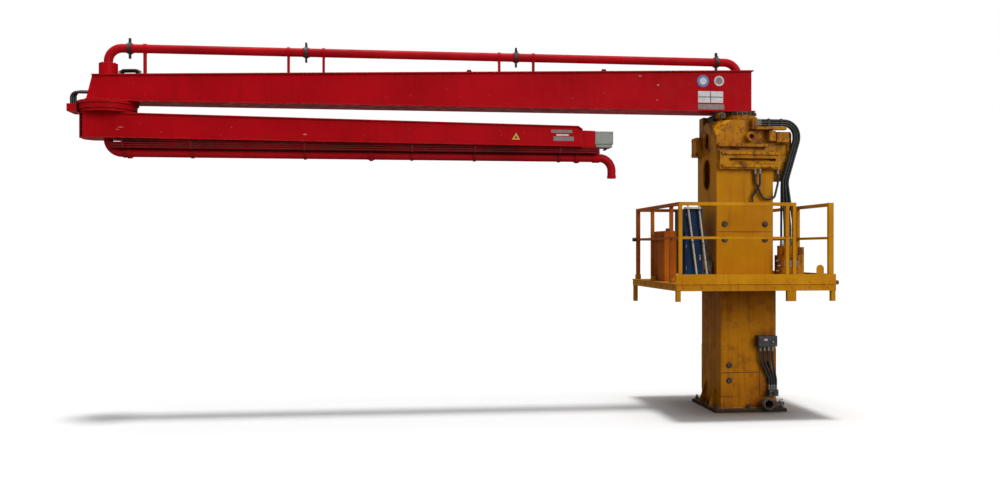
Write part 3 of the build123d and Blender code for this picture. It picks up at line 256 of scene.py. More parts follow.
def bare_metal(name, light, dark, rust=0.3, gloss=0.42, metallic=0.75):
    """Oily or rusty steel with uneven tone, and painted shade in its crevices."""

    def colour(tree):
        result = mixed(tree, band(tree, noise(tree, 14, 6), 0.35, 0.65), light, dark)
        spots = band(tree, noise(tree, 23, 7, rough=0.7), 0.62 - 0.2 * rust, 0.7)
        result = mixed(tree, product(tree, spots, min(1, 2 * rust)), result, RUST)
        # painted shade: crevices darkened with the grime colour
        return mixed(tree, product(tree, crevice_shade_share(tree, 0.05), 0.6), result, GRIME_AND_SHADE)

    def bump(tree):
        return noise(tree, 90, 4)

    return finished(name, colour, (18, 5, gloss, gloss + 0.3), bump, metallic, bump_strength=0.25)


def dusty_film(name, tone, dusty, gloss=0.5, dust=0.35):
    """Rubber, plastic or film with dust lying on it."""

    def colour(tree):
        dirt = band(tree, noise(tree, 16, 6), 0.42, 0.7, 0, 0.55)
        result = mixed(tree, dirt, tone, dusty)
        lying = product(tree, up_share(tree), band(tree, noise(tree, 7, 4), 0.4, 0.7), dust)
        return mixed(tree, lying, result, DUST)

    def bump(tree):
        return noise(tree, 160, 3)

    return finished(name, colour, (30, 4, gloss, gloss + 0.2), bump, bump_strength=0.3, bump_distance=0.001)


# the rusty colour of the mast's dirt, and of its painted shade in corners
STAIN_AND_SHADE = (0.1, 0.018, 0.006)


def stained_and_shaded(name, paint, deep, **wear):
    """The mast's paint, whose dirt is rusty, as is the painted shade in its corners."""
    return worn_paint(name, paint, deep, grime_colour=STAIN_AND_SHADE, **wear)


YELLOW = stained_and_shaded(
    "yellow_paint", (0.58, 0.255, 0.001), (0.44, 0.155, 0.001), grime=0.7, streaks=0.3, chips=0.5, gloss=0.4
)
YELLOW_GREASY = stained_and_shaded(
    "yellow_greasy", (0.64, 0.3, 0.002), (0.4, 0.145, 0.002), grime=1.0, streaks=0.6, chips=0.7, gloss=0.28,
    blotches=0.85,
)
# darker paint for the mast's foot and lower section under the platform: dirt and painted shade
YELLOW_DIRTY_AND_SHADED = stained_and_shaded(
    "yellow_dirty_and_shaded", (0.46, 0.175, 0.001), (0.33, 0.1, 0.001), grime=0.95, streaks=0.5, chips=0.8, gloss=0.45,
    blotches=0.35,
)
YELLOW_BRIGHT = stained_and_shaded(
    "yellow_paint_bright", (0.62, 0.285, 0.001), (0.46, 0.165, 0.001), grime=0.5, streaks=0.2, chips=0.5,
    gloss=0.38,
)
# On the left and rear railings this orange, darker than the yellow of the front rails, is partly painted
# shade.
ORANGE = stained_and_shaded(
    "orange_paint", (0.5, 0.14, 0.002), (0.34, 0.065, 0.002), grime=0.7, streaks=0.3, chips=0.5, gloss=0.42
)
# Under the red paint a pale pink shows on worn edges and nicks: partly wear, and partly a painted highlight
# along the flange edges.
RED = worn_paint(
    "red_paint", (0.48, 0.004, 0.009), (0.38, 0.003, 0.006), under=(0.5, 0.13, 0.12), grime=0.4, streaks=0.16,
    chips=0.3, dust=0.12, gloss=0.3, grime_colour=(0.07, 0.006, 0.006), specular=0.025,
)
RED_PIPE = worn_paint(
    "red_pipe", (0.44, 0.006, 0.011), (0.3, 0.004, 0.008), grime=0.4, streaks=0.1, chips=0.35, dust=0.1,
    gloss=0.36, grime_colour=(0.07, 0.006, 0.006), specular=0.05,
)
RED_DARK = worn_paint(
    "red_dark", (0.28, 0.006, 0.009), (0.13, 0.004, 0.006), grime=0.8, streaks=0.3, chips=0.3, gloss=0.45
)
BLUE = worn_paint(
    "blue_paint", (0.004, 0.045, 0.14), (0.003, 0.022, 0.075), grime=0.4, streaks=0.25, chips=0.25, gloss=0.33
)
GREY = worn_paint(
    "grey_paint", (0.35, 0.37, 0.33), (0.26, 0.28, 0.25), grime=0.5, streaks=0.2, chips=0.15, gloss=0.4
)
BASE_PLATE = worn_paint(
    "base_plate", (0.06, 0.035, 0.015), (0.02, 0.016, 0.012), grime=0.9, streaks=0.7, chips=0.9, dust=0.3,
    gloss=0.6,
)
RISER = worn_paint("riser_paint", (0.3, 0.15, 0.03), (0.16, 0.07, 0.02), grime=0.8, streaks=0.4, chips=0.6)
STEEL = bare_metal("dark_steel", (0.07, 0.062, 0.058), (0.025, 0.022, 0.02), metallic=0.5)
ZINC = bare_metal("zinc_steel", (0.3, 0.29, 0.26), (0.15, 0.135, 0.12), rust=0.35, gloss=0.4, metallic=0.6)
RUSTY = bare_metal("rusty_steel", (0.15, 0.07, 0.035), (0.07, 0.03, 0.016), rust=0.9, gloss=0.6, metallic=0.3)
RUBBER = dusty_film("black_rubber", (0.006, 0.006, 0.007), (0.03, 0.027, 0.025), gloss=0.38, dust=0.12)
LABEL_BLUE = dusty_film("label_blue", (0.03, 0.13, 0.4), (0.1, 0.12, 0.2), gloss=0.35)
LABEL_WHITE = dusty_film("label_white", (0.6, 0.58, 0.6), (0.4, 0.3, 0.3), gloss=0.35)
LABEL_GREY = dusty_film("label_grey", (0.22, 0.17, 0.17), (0.14, 0.08, 0.08), gloss=0.4)
LABEL_YELLOW = dusty_film("label_yellow", (0.6, 0.38, 0.01), (0.4, 0.2, 0.02), gloss=0.35)
LABEL_PINK = dusty_film("label_pink", (0.6, 0.38, 0.4), (0.35, 0.2, 0.2), gloss=0.4)
CHIPPED = dusty_film("chipped_paint", (0.42, 0.2, 0.17), (0.2, 0.05, 0.035), gloss=0.6)
PALE = dusty_film("pale_plastic", (0.5, 0.47, 0.36), (0.3, 0.26, 0.18), gloss=0.45)
PLASTIC = dusty_film("black_plastic", (0.01, 0.01, 0.011), (0.045, 0.04, 0.036), gloss=0.4, dust=0.2)

FINISHES = (
    (BASE_PLATE, "base_plate"),
    (RISER, "concrete_riser"),
    (STEEL, "mast_joint_pins slew_ring_moving slew_drive inlet_ring arm1_clamps left_valve_block"),
    (YELLOW_GREASY, "mast_head head_brackets head_side_bracket head_slot_frame slew_ring_fixed valve_block"),
    (YELLOW_DIRTY_AND_SHADED, "mast_foot mast_lower_section"),
    (RED_DARK, "arm2_lines arm2_hangers"),
    (RUBBER, "foot_hoses mast_hoses head_hoses arm1_tip_hoses knuckle_hoses"),
    (PLASTIC, "junction_box foot_block"),
    (PALE, "platform_conduits"),
    (BLUE, "blue_cabinet cabinet_front_panel"),
    (GREY, "tip_box"),
    (ORANGE, "railing_left railing_rear side_tank"),
    (YELLOW_BRIGHT, "railing_front railing_right toe_boards"),
    (RED_PIPE, "arm1_pipes arm1_root_bend arm1_tip_bend arm2_pipes arm2_inlet_bend arm2_outlet_bend"),
)
NODE_MATERIALS = {name: material for material, names in FINISHES for name in names.split()}


def dress_cad_nodes():
    """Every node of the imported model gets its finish."""
    for body, members in bodies.items():
        usual = RED if body.startswith("boom") else YELLOW
        for name in members:
            mesh_object = nodes[name]
            material = NODE_MATERIALS.get(name, usual)
            mesh_object.data.materials.clear()
            mesh_object.data.materials.append(material)


# ---------------- small shapes
def placed(at, axis, turn=0.0):
    """A frame at the point given, whose Z runs along the axis."""
    rotation = Vector(axis).to_track_quat("Z", "Y").to_matrix().to_4x4()
    return Matrix.Translation(at) @ rotation @ Matrix.Rotation(turn, 4, "Z")


def circle(count, shift=0.0):
    """Points spaced evenly round a circle of radius 1, from the X axis or a share of a step past it."""
    angles = [2 * math.pi * (n + shift) / count for n in range(count)]
    return [(math.cos(angle), math.sin(angle)) for angle in angles]


def bridge(mesh, rings, paint, caps=True, smooth=False):
    """Faces between rings of equal length, with a flat cap at each end if asked."""
    made = []
    for lower, upper in zip(rings, rings[1:]):
        count = len(lower)
        for n in range(count):
            made.append(mesh.faces.new((lower[n], lower[(n + 1) % count], upper[(n + 1) % count], upper[n])))
    for face in made:
        face.smooth = smooth
    if caps:
        made += [mesh.faces.new(list(reversed(rings[0]))), mesh.faces.new(rings[-1])]
    for face in made:
        face.material_index = paint


def turned(mesh, profile, place, sides=20, paint=0, smooth=True, caps=True):
    """A body turned about the frame's Z from pairs of radius and height."""
    rings = []
    for radius, height in profile:
        points = [place @ Vector((radius * x, radius * y, height)) for x, y in circle(sides)]
        rings.append([mesh.verts.new(point) for point in points])
    bridge(mesh, rings, paint, caps, smooth)


def plate(mesh, outline, thick, place, edge=0.001, paint=0):
    """A flat plate with chamfered upper edges; its outline is convex and runs anticlockwise."""
    middle = Vector((sum(x for x, y in outline) / len(outline), sum(y for x, y in outline) / len(outline), 0))
    reach = max((Vector((x, y, 0)) - middle).length for x, y in outline)
    rings = []
    for height, inset in ((0, 0), (thick - edge, 0), (thick, edge)):
        ring = []
        for x, y in outline:
            away = Vector((x, y, 0)) - middle
            point = middle + away * (1 - inset / reach) + Vector((0, 0, height))
            ring.append(mesh.verts.new(place @ point))
        rings.append(ring)
    bridge(mesh, rings, paint)


def panel(mesh, width, height, thick, place, corner=0.0, edge=0.001, paint=0):
    """A rectangular plate, with rounded corners if given."""
    outline = []
    for sx, sy, start in ((1, 1, 0), (-1, 1, 90), (-1, -1, 180), (1, -1, 270)):
        x = sx * (width / 2 - corner)
        y = sy * (height / 2 - corner)
        if not corner:
            outline.append((x, y))
            continue
        for step in range(4):
            angle = math.radians(start + 30 * step)
            outline.append((x + corner * math.cos(angle), y + corner * math.sin(angle)))
    plate(mesh, outline, thick, place, edge, paint)


def bolt(mesh, at, axis, across=0.018, stud=0.0, washer=True, paint=0):
    """A chamfered hexagon on a washer, with a stud end above it if given."""
    radius = across / 1.732
    place = placed(at, axis, random.uniform(0, 1))
    base = 0.0
    if washer:
        base = 0.1 * across
        wide = 1.12 * radius
        turned(mesh, [(wide, -0.0005), (wide, 0.8 * base), (1.05 * radius, base)], place, 14, paint)
    top = base + 0.62 * across
    profile = [(radius, base), (radius, top - 0.1 * across), (0.86 * radius, top)]
    turned(mesh, profile, place, 6, paint, smooth=False)
    if stud:
        core = 0.52 * radius
        turned(mesh, [(core, top), (core, top + stud - 0.002), (core - 0.002, top + stud)], place, 10, paint)


def front_bolts(mesh, xs, y, zs, across):
    """Bolts on a face that looks towards -Y."""
    for z in zs:
        for x in xs:
            bolt(mesh, (x, y, z), -Y, across)


def bolt_circle(mesh, centre, axis, radius, count, across, paint=0, keep=lambda point: True, **more):
    place = placed(centre, axis)
    for x, y in circle(count, 0.5):
        point = place @ Vector((radius * x, radius * y, 0))
        if keep(point):
            bolt(mesh, point, axis, across, paint=paint, **more)


def tube(mesh, points, radius, sides=8, paint=0, ripple=0.0):
    """A round cord through the points, whose radius ripples a little if asked."""
    points = [Vector(point) for point in points]
    rings = []
    side = None
    for n, point in enumerate(points):
        ahead = points[min(n + 1, len(points) - 1)] - points[max(n - 1, 0)]
        ahead.normalize()
        if side is None:
            side = ahead.orthogonal().normalized()
        side = (side - ahead * side.dot(ahead)).normalized()
        other = ahead.cross(side)
        size = radius * (1 + ripple * random.uniform(-1, 1))
        rings.append([mesh.verts.new(point + size * (x * side + y * other)) for x, y in circle(sides)])
    bridge(mesh, rings, paint, smooth=True)


def weld(mesh, corners, radius=0.0045, step=0.02, paint=0):
    """A weld bead along straight runs between the corners."""
    for start, end in zip(corners, corners[1:]):
        start = Vector(start)
        end = Vector(end)
        count = max(2, int((end - start).length / step))
        points = [start.lerp(end, n / count) for n in range(count + 1)]
        tube(mesh, points, radius, 5, paint, ripple=0.2)


def hose_end(mesh, at, axis, hose_r, paint=0):
    """A hexagon union nut and a crimped sleeve over the end of a hose that leaves along the axis."""
    place = placed(at, axis)
    nut = hose_r * 1.45
    turned(mesh, [(nut, 0.0005), (nut, 0.02), (0.86 * nut, 0.024)], place, 6, paint, smooth=False)
    sleeve = hose_r * 1.22
    profile = [(hose_r, 0.022), (sleeve, 0.026)]
    for n in range(3):
        foot = 0.03 + 0.011 * n
        profile += [(sleeve, foot), (sleeve * 0.94, foot + 0.003), (sleeve, foot + 0.006)]
    profile += [(sleeve, 0.064), (hose_r + 0.0003, 0.067)]
    turned(mesh, profile, place, 16, paint)


def ring_around(mesh, centre, axis, inner, outer, width, paint=0, sides=32):
    """A rounded band round a pipe, centred along the axis."""
    place = placed(centre, axis)
    half = width / 2
    edge = min(0.2 * width, 0.4 * (outer - inner))
    profile = [(inner, -half), (outer - edge, -half), (outer, edge - half), (outer, half - edge)]
    profile += [(outer - edge, half), (inner, half)]
    turned(mesh, profile, place, sides, paint, caps=False)


def knob(mesh, at, axis, radius, height, paint=0):
    profile = [(0.45 * radius, 0), (0.45 * radius, 0.3 * height), (radius, 0.45 * height)]
    profile += [(radius, 0.85 * height), (0.7 * radius, height)]
    turned(mesh, profile, placed(at, axis), 16, paint)


def arc(centre, radius, start, end, u, v, steps=10):
    """Points on an arc in the plane of u and v, from start to end in degrees."""
    u = Vector(u)
    v = Vector(v)
    points = []
    for n in range(steps + 1):
        angle = math.radians(start + (end - start) * n / steps)
        points.append(Vector(centre) + radius * (math.cos(angle) * u + math.sin(angle) * v))
    return points


def add_piece(name, body, materials, build):
    """A mesh drawn by build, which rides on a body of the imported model."""
    drawn = bmesh.new()
    build(drawn)
    bmesh.ops.recalc_face_normals(drawn, faces=drawn.faces)
    mesh = bpy.data.meshes.new(name)
    drawn.to_mesh(mesh)
    drawn.free()
    for material in materials:
        mesh.materials.append(material)
    made = bpy.data.objects.new(name, mesh)
    bpy.context.scene.collection.objects.link(made)
    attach(made, body)


def pitch_of(name, key):
    """A length from the dims of the mount named, in metres."""
    for mount in frame["record"]["mounts"]:
        if mount["name"] == name:
            return mount["dims"][key] / 1000
    raise KeyError(name)


X, Y, Z = Vector((1, 0, 0)), Vector((0, 1, 0)), Vector((0, 0, 1))
SIDES = (-1, 1)


# ---------------- mast details
MAST_HALF = 0.39  # from the mast's middle to its front and rear faces
MAST_FRONT = -0.3905  # the welds on the front face
HOSE_FACE = -0.391  # the hoses on the front face
HOSE_R = 0.015
FOOT_HOSE_R = 0.0128
PIPE_R = 0.0573  # with its clearance, for the rings that sit on a pipe's end
INLET_X = 0.228


def rectangle(x0, x1, y0, y1, z):
    return [(x0, y0, z), (x1, y0, z), (x1, y1, z), (x0, y1, z), (x0, y0, z)]


def square(x, y, half, z):
    return rectangle(x - half, x + half, y - half, y + half, z)


def draw_anchor_bolts(mesh):
    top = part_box("base_plate")[1].z
    half = pitch_of("base_bolts", "spacing_x_mm") / 2
    for sx in (-1, 0, 1):
        for sy in (-1, 0, 1):
            if sx or sy:
                bolt(mesh, (sx * half, sy * half, top), Z, 0.046, stud=0.03)


def draw_mast_welds(mesh):
    """The beads at the foot, on its gussets and pads, and at the joints of the sections."""
    base_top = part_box("base_plate")[1].z
    lower_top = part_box("mast_lower_section")[1].z
    upper_low, upper_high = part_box("mast_upper_section")
    head_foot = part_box("mast_head")[0].z
    flange_thick = 0.02
    gusset_top, gusset_half = 0.36, 0.01
    pad_edge, pad_bottom, pad_top = 0.16, 0.21, 0.85
    weld(mesh, square(0, 0, MAST_HALF, base_top), 0.007)
    weld(mesh, square(0, 0, MAST_HALF, lower_top - flange_thick), 0.005)
    upper_sides = (upper_low.x, upper_high.x, upper_low.y, upper_high.y)
    weld(mesh, rectangle(*upper_sides, lower_top), 0.005)
    for side in SIDES:
        for gusset_y in (-0.2, 0.2):
            for edge in SIDES:
                x, y = side * MAST_HALF, gusset_y + edge * gusset_half
                weld(mesh, [(x, y, base_top), (x, y, gusset_top)], 0.004)
        for x in SIDES:
            near, far = sorted((x * pad_edge, x * MAST_HALF))
            pad = [(near, pad_bottom), (far, pad_bottom), (far, pad_top), (near, pad_top), (near, pad_bottom)]
            weld(mesh, [(px, side * MAST_HALF, pz) for px, pz in pad], 0.004)
    weld(mesh, rectangle(*upper_sides, head_foot), 0.003)
    inlet_low, inlet_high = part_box("inlet_ring")
    through = (INLET_X, -MAST_HALF - 0.004, (inlet_low.z + inlet_high.z) / 2)
    ring_around(mesh, through, Y, PIPE_R, 0.066, 0.008)


def draw_section_seams(mesh):
    """The rusty joints between the mast sections, one with a bead of old sealant between its pins."""
    low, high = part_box("mast_upper_section")
    foot_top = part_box("mast_foot")[1].z
    thin = 0.0012
    for side in SIDES:
        out = (0, side, 0)
        for z, height in ((low.z, 0.006), (high.z, 0.009)):
            seam = placed(((low.x + high.x) / 2, side * high.y, z), out)
            panel(mesh, high.x - low.x - 0.008, height, thin, seam, edge=0.0005)
        panel(mesh, 0.4, 0.022, 0.0016, placed((-0.03, side * high.y, low.z), out), 0.009, 0.0006, 1)
        # the foot's joint runs between its two pads, over each pad, and across the narrow side
        for x, width, depth in ((0, 0.32, 0.39), (-0.275, 0.226, 0.4), (0.275, 0.226, 0.4)):
            panel(mesh, width, 0.012, thin, placed((x, side * depth, foot_top), out), edge=0.0005)
        narrow_side = placed((side * MAST_HALF, 0, foot_top), (side, 0, 0), math.pi / 2)
        panel(mesh, 0.77, 0.012, thin, narrow_side, edge=0.0005)


# x of the pins in each row, the row's height, and how far its pin ends stand from the mast's middle
PIN_ROWS = [((-0.275, 0.275), z, 0.414) for z in (0.425, 0.635)]
PIN_ROWS += [((-0.335, 0.235), z, 0.404) for z in (2.345, 2.555)]
PIN_CAP = [(0.036, 0), (0.036, 0.003), (0.032, 0.006), (0.014, 0.007), (0.012, 0.004)]
GREASE_NIPPLE = [(0.005, 0.004), (0.005, 0.009), (0.003, 0.012)]


def draw_pin_keepers(mesh):
    """A domed cap and a grease nipple at each end of the joint pins."""
    for xs, z, depth in PIN_ROWS:
        for x in xs:
            for side in SIDES:
                place = placed((x, side * depth, z), (0, side, 0))
                turned(mesh, PIN_CAP, place, 24)
                turned(mesh, GREASE_NIPPLE, place, 8, 1)


def draw_window_rims(mesh):
    stand_off = 0.002
    windows = (("mast_upper_section", 3.25, 0.42, 0.26), ("mast_head", 3.715, 0.22, 0.15))
    for name, z, length, width in windows:
        low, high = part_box(name)
        straight = (length - width) / 2
        radius = width / 2 + 0.004
        for x in (low.x - stand_off, high.x + stand_off):
            points = arc((x, 0, z + straight), radius, 0, 180, Y, Z, 12)
            points += arc((x, 0, z - straight), radius, 180, 360, Y, Z, 12)
            tube(mesh, points + points[:1], 0.006, 6)


def draw_head_bolts(mesh):
    """Bolts round the head's two flanges, on its slotted frame and on its brackets."""
    head_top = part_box("mast_head")[1].z
    shoulder = 3.975
    bolt_circle(mesh, (0, 0, head_top), Z, 0.2515, 24, 0.014)
    bolt_circle(mesh, (0, 0, shoulder), Z, 0.3, 24, 0.018, keep=lambda point: point.x > -0.2)
    low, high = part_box("head_slot_frame")
    xs = [low.x + 0.07 + n * (high.x - low.x - 0.14) / 7 for n in range(8)]
    front_bolts(mesh, xs, low.y, (low.z + 0.04, high.z - 0.04), 0.016)
    boss = (0.015, -0.471, 3.745)
    bolt_circle(mesh, boss, -Y, 0.049, 6, 0.012, washer=False)
    front_bolts(mesh, (0.278, 0.334), -0.486, (3.7, 3.805), 0.014)
    front_bolts(mesh, [-0.4 + 0.12 * n for n in range(6)], -0.451, [3.626], 0.014)
    left_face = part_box("head_brackets")[0].x
    for y in (0.215, 0.35):
        for z in (3.56, 3.76):
            bolt(mesh, (left_face, y, z), -X, 0.02)
    front_bolts(mesh, (0.4, 0.45, 0.515), -0.47, [3.735], 0.014)


def draw_slot_rim(mesh):
    """The rim of the slot in the head's frame, and the welds that hold the frame."""
    low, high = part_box("head_slot_frame")
    z = (low.z + high.z) / 2
    y = low.y + 0.024
    slot_x, half, radius = 0.03, 0.313, 0.021
    points = arc((slot_x + half, y, z), radius, -90, 90, X, Z, 8)
    points += arc((slot_x - half, y, z), radius, 90, 270, X, Z, 8)
    tube(mesh, points + points[:1], 0.005, 6)
    weld(mesh, [(low.x, MAST_FRONT, low.z), (low.x, MAST_FRONT, high.z)], 0.005)
    weld(mesh, [(low.x, MAST_FRONT, low.z), (0.35, MAST_FRONT, low.z)], 0.005)
    ledge_z = 3.604
    weld(mesh, [(-0.43, MAST_FRONT, ledge_z), (0.25, MAST_FRONT, ledge_z)], 0.004)


def draw_motor_fins(mesh, x, start, spacing, z, inner, outer):
    for n in range(9):
        ring_around(mesh, (x, start + spacing * n, z), Y, inner, outer, 0.005, sides=24)


def draw_slew_drive(mesh):
    low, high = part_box("slew_drive")
    x, z = -0.33, high.z - 0.05
    draw_motor_fins(mesh, x, low.y + 0.02, 0.014, z, 0.041, 0.0455)
    for y in (-0.163, 0.16):
        ring_around(mesh, (x, y, z), Y, 0.049, 0.0535, 0.012, sides=24)
    bolt_circle(mesh, (x, high.y, z), Y, 0.036, 6, 0.011, washer=False)
    bolt_circle(mesh, (x, low.y, z), -Y, 0.029, 4, 0.009, washer=False)
    gearbox_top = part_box("mast_head")[1].z
    for gear_x in (-0.41, -0.32):
        for gear_y in (0.235, 0.365):
            bolt(mesh, (gear_x, gear_y, gearbox_top), Z, 0.014)


def draw_mast_hose_ends(mesh):
    """Nuts and sleeves at the ends of the hoses on the mast, at its foot and under the slotted frame."""
    for row in range(3):
        for column in range(2):
            y = HOSE_FACE - 0.023 - 0.037 * column
            hose_end(mesh, (0.0903, y, 3.906 + 0.031 * row), X, HOSE_R)
            hose_end(mesh, (0.458 + 0.064 * row + 0.032 * column, y, 2.26), Z, HOSE_R)
    box_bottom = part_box("junction_box")[0].z
    block_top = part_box("foot_block")[1].z
    for n in range(4):
        y = -0.4383 - 0.006 * n
        hose_end(mesh, (0.15 + 0.055 * n, y, box_bottom), -Z, HOSE_R)
        hose_end(mesh, (0.275 + 0.03 * n, y, block_top), Z, FOOT_HOSE_R)
    frame_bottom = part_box("head_slot_frame")[0].z
    for x, depth in ((0.08, 0.04), (0.402, 0.04), (0.135, 0.074)):
        hose_end(mesh, (x, HOSE_FACE - depth, frame_bottom), -Z, HOSE_R)


def draw_hose_clips(mesh):
    """Clip bars behind, before and above the mast hoses where they leave the head."""
    z, above = 3.937, 3.986
    for x in (0.26, 0.44):
        panel(mesh, 0.02, 0.106, 0.006, placed((x, -0.397, z), -Y))
        panel(mesh, 0.02, 0.106, 0.004, placed((x, -0.468, z), -Y))
        panel(mesh, 0.02, 0.074, 0.004, placed((x, -0.4325, above), Z))
        for dz in (-0.0155, 0.0155):
            bolt(mesh, (x, -0.472, z + dz), -Y, 0.008, washer=False)


def draw_lid_screws(mesh, middle, across, up, axis, head):
    """A screw at each corner of an upright lid; across and up are between the screws."""
    for sx in SIDES:
        for sz in SIDES:
            at = (middle[0] + sx * across / 2, middle[1], middle[2] + sz * up / 2)
            turned(mesh, head, placed(at, axis), 12, 1)


def draw_junction_box(mesh):
    low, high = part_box("junction_box")
    middle = (low + high) / 2
    width, height = high.x - low.x, high.z - low.z
    lid_y = low.y - 0.005
    lid = placed((middle.x, low.y + 0.001, middle.z), -Y)
    panel(mesh, width - 0.014, height - 0.014, 0.006, lid, 0.008)
    screw = [(0.006, 0), (0.006, 0.003), (0.004, 0.0045)]
    draw_lid_screws(mesh, (middle.x, lid_y, middle.z), width - 0.04, height - 0.04, -Y, screw)
    label = placed((middle.x - 0.03, lid_y, middle.z + 0.02), -Y)
    panel(mesh, 0.05, 0.028, 0.0012, label, 0.003, 0.0004, 2)
    knob(mesh, (middle.x + 0.065, lid_y, middle.z - 0.01), -Y, 0.014, 0.02, 1)


def draw_inlet(mesh):
    """Two bands and a rubber seal on the inlet, with the bolts and the lever of its clamp."""
    low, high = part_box("inlet_ring")
    z = (low.z + high.z) / 2
    for depth, width in ((0.009, 0.014), (0.05, 0.012)):
        ring_around(mesh, (INLET_X, low.y + depth, z), Y, 0.072, 0.0785, width)
    ring_around(mesh, (INLET_X, low.y + 0.002, z), Y, 0.0525, 0.061, 0.005, 1)
    for dz in (-0.012, 0.012):
        bolt(mesh, (high.x - 0.03, low.y + 0.006, z + dz), -Y, 0.012, washer=False)
    bend = ((0.06, 0.02), (0.05, 0.05), (0.01, 0.06))
    tube(mesh, [(high.x - back, low.y + 0.03, z + rise) for back, rise in bend], 0.007)


def draw_foot_block(mesh):
    low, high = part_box("foot_block")
    for x in (low.x + 0.018, high.x - 0.018):
        for z in (low.z + 0.018, high.z - 0.018):
            bolt(mesh, (x, low.y, z), -Y, 0.012)
    knob(mesh, ((low.x + high.x) / 2, low.y, (low.z + high.z) / 2), -Y, 0.018, 0.03, 1)


# ---------------- platform details
RAIL_LEFT, RAIL_RIGHT = -1.19, 0.83
RAIL_FRONT, RAIL_REAR = -1.12, 0.94
MID_RAIL_Z = 2.356
LAST_POST_Y = 0.895
POSTS = [(x, RAIL_FRONT) for x in (RAIL_LEFT, 0.228, 0.323)]
POSTS += [(RAIL_LEFT, y) for y in (-0.787, 0.099, LAST_POST_Y)]
POSTS += [(x, RAIL_REAR) for x in (RAIL_LEFT, -0.523, 0.163, RAIL_RIGHT)]
POSTS += [(RAIL_RIGHT, y) for y in (RAIL_FRONT, -0.112, LAST_POST_Y)]


def draw_post_sockets(mesh):
    """A socket of four welded plates at each railing post, and a weld where the middle rail meets it."""
    floor_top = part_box("platform_floor")[1].z
    stand_off = 0.0264
    for x, y in POSTS:
        for dx, dy in ((1, 0), (-1, 0), (0, 1), (0, -1)):
            width, depth = (0.056, 0.008) if dy else (0.008, 0.056)
            panel(mesh, width, depth, 0.07, placed((x + dx * stand_off, y + dy * stand_off, floor_top), Z))
        weld(mesh, square(x, y, 0.028, floor_top), 0.004, 0.012)
        weld(mesh, square(x, y, 0.022, MID_RAIL_Z + 0.018), 0.0025, 0.012)


def draw_rail_caps(mesh):
    """Caps on the ends of the front top rail, and black sleeves on the two knobs beside the railings."""
    low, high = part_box("railing_front")
    for x, axis in ((low.x, -X), (high.x, X)):
        panel(mesh, 0.038, 0.038, 0.004, placed((x, RAIL_FRONT, high.z - 0.022), axis), 0.004)
    knob_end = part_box("railing_rear")[0].x
    knob(mesh, (knob_end + 0.003, RAIL_REAR, MID_RAIL_Z), -X, 0.02, 0.0028, 1)
    ring_around(mesh, (-1.243, RAIL_REAR, MID_RAIL_Z), X, 0.0255, 0.0285, 0.046, 1)
    ring_around(mesh, (0.909, RAIL_FRONT, 1.78), X, 0.0255, 0.0285, 0.024, 1)


TREAD_BAR = [
    (0.017, 0), (0.006, 0.0045), (-0.006, 0.0045), (-0.017, 0), (-0.006, -0.0045), (0.006, -0.0045),
]


def draw_floor_tread(mesh):
    """The raised pattern of the chequer plate, clear of the mast."""
    low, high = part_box("platform_floor")
    pitch = 0.062
    clear_of_mast = 0.43
    row = 0
    y = low.y + 0.1
    while y < high.y - 0.08:
        x = low.x + 0.1 + (row % 2) * pitch / 2
        while x < high.x - 0.08:
            if max(abs(x), abs(y)) > clear_of_mast:
                turn = math.radians(45 if row % 2 else -45)
                plate(mesh, TREAD_BAR, 0.0018, placed((x, y, high.z), Z, turn), 0.0012)
            x += pitch
        y += pitch / 2
        row += 1


def draw_frame_bolts(mesh):
    low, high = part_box("platform_frame")
    z = high.z - 0.042
    front_bolts(mesh, [-1.15 + n * 0.24 for n in range(9)], low.y, [z], 0.016)
    for n in range(8):
        bolt(mesh, (low.x, -1.0 + n * 0.26, z), -X, 0.02)
        bolt(mesh, (high.x, -1.0 + n * 0.26, z), X, 0.02)
    toe_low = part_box("toe_boards")[0]
    rivet = [(0.009, 0), (0.009, 0.003), (0.005, 0.006)]
    for n in range(8):
        turned(mesh, rivet, placed((-1.1 + n * 0.27, toe_low.y, toe_low.z + 0.03), -Y), 12)
    weld(mesh, [(-1.24, toe_low.y, toe_low.z), (0.87, toe_low.y, toe_low.z)], 0.0035)


def draw_cabinet(mesh):
    """Two door leaves with hinges, handles and louvres, and two lifting eyes on the cabinet's top."""
    low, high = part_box("cabinet_front_panel")
    middle_x = (low.x + high.x) / 2
    leaf = (high.z - low.z - 0.05) / 2
    leaf_y = low.y - 0.006
    handle_x = high.x - 0.035
    for n in range(2):
        z = low.z + 0.02 + leaf / 2 + n * (leaf + 0.01)
        panel(mesh, high.x - low.x - 0.03, leaf, 0.006, placed((middle_x, low.y, z), -Y), 0.006)
        for side in SIDES:
            hinge = Vector((low.x + 0.012, low.y - 0.007, z + side * (leaf / 2 - 0.06)))
            tube(mesh, [hinge - 0.025 * Z, hinge + 0.025 * Z], 0.006, 8, 1)
        panel(mesh, 0.022, 0.07, 0.006, placed((handle_x, leaf_y, z), -Y), 0.006, paint=1)
        knob(mesh, (handle_x, low.y - 0.012, z + 0.015), -Y, 0.007, 0.012, 1)
        for k in range(6):
            louvre = placed((middle_x, leaf_y, z - leaf / 2 + 0.1 + 0.016 * k), -Y)
            panel(mesh, 0.13, 0.006, 0.004, louvre, edge=0.002)
    for x in (low.x + 0.03, high.x - 0.03):
        tube(mesh, arc((x, 0.03, high.z), 0.014, 0, 180, X, Z, 8), 0.004, 6, 1)


def draw_conduit_clips(mesh):
    for foot_x, head_x, head_z in ((-0.592, -0.718, 2.815), (-0.732, -0.872, 2.835)):
        foot = Vector((foot_x, -0.44, 1.78))
        head = Vector((head_x, -0.44, head_z))
        for share in (0.06, 0.5, 0.93):
            ring_around(mesh, foot.lerp(head, share), head - foot, 0.0128, 0.0165, 0.03, sides=16)


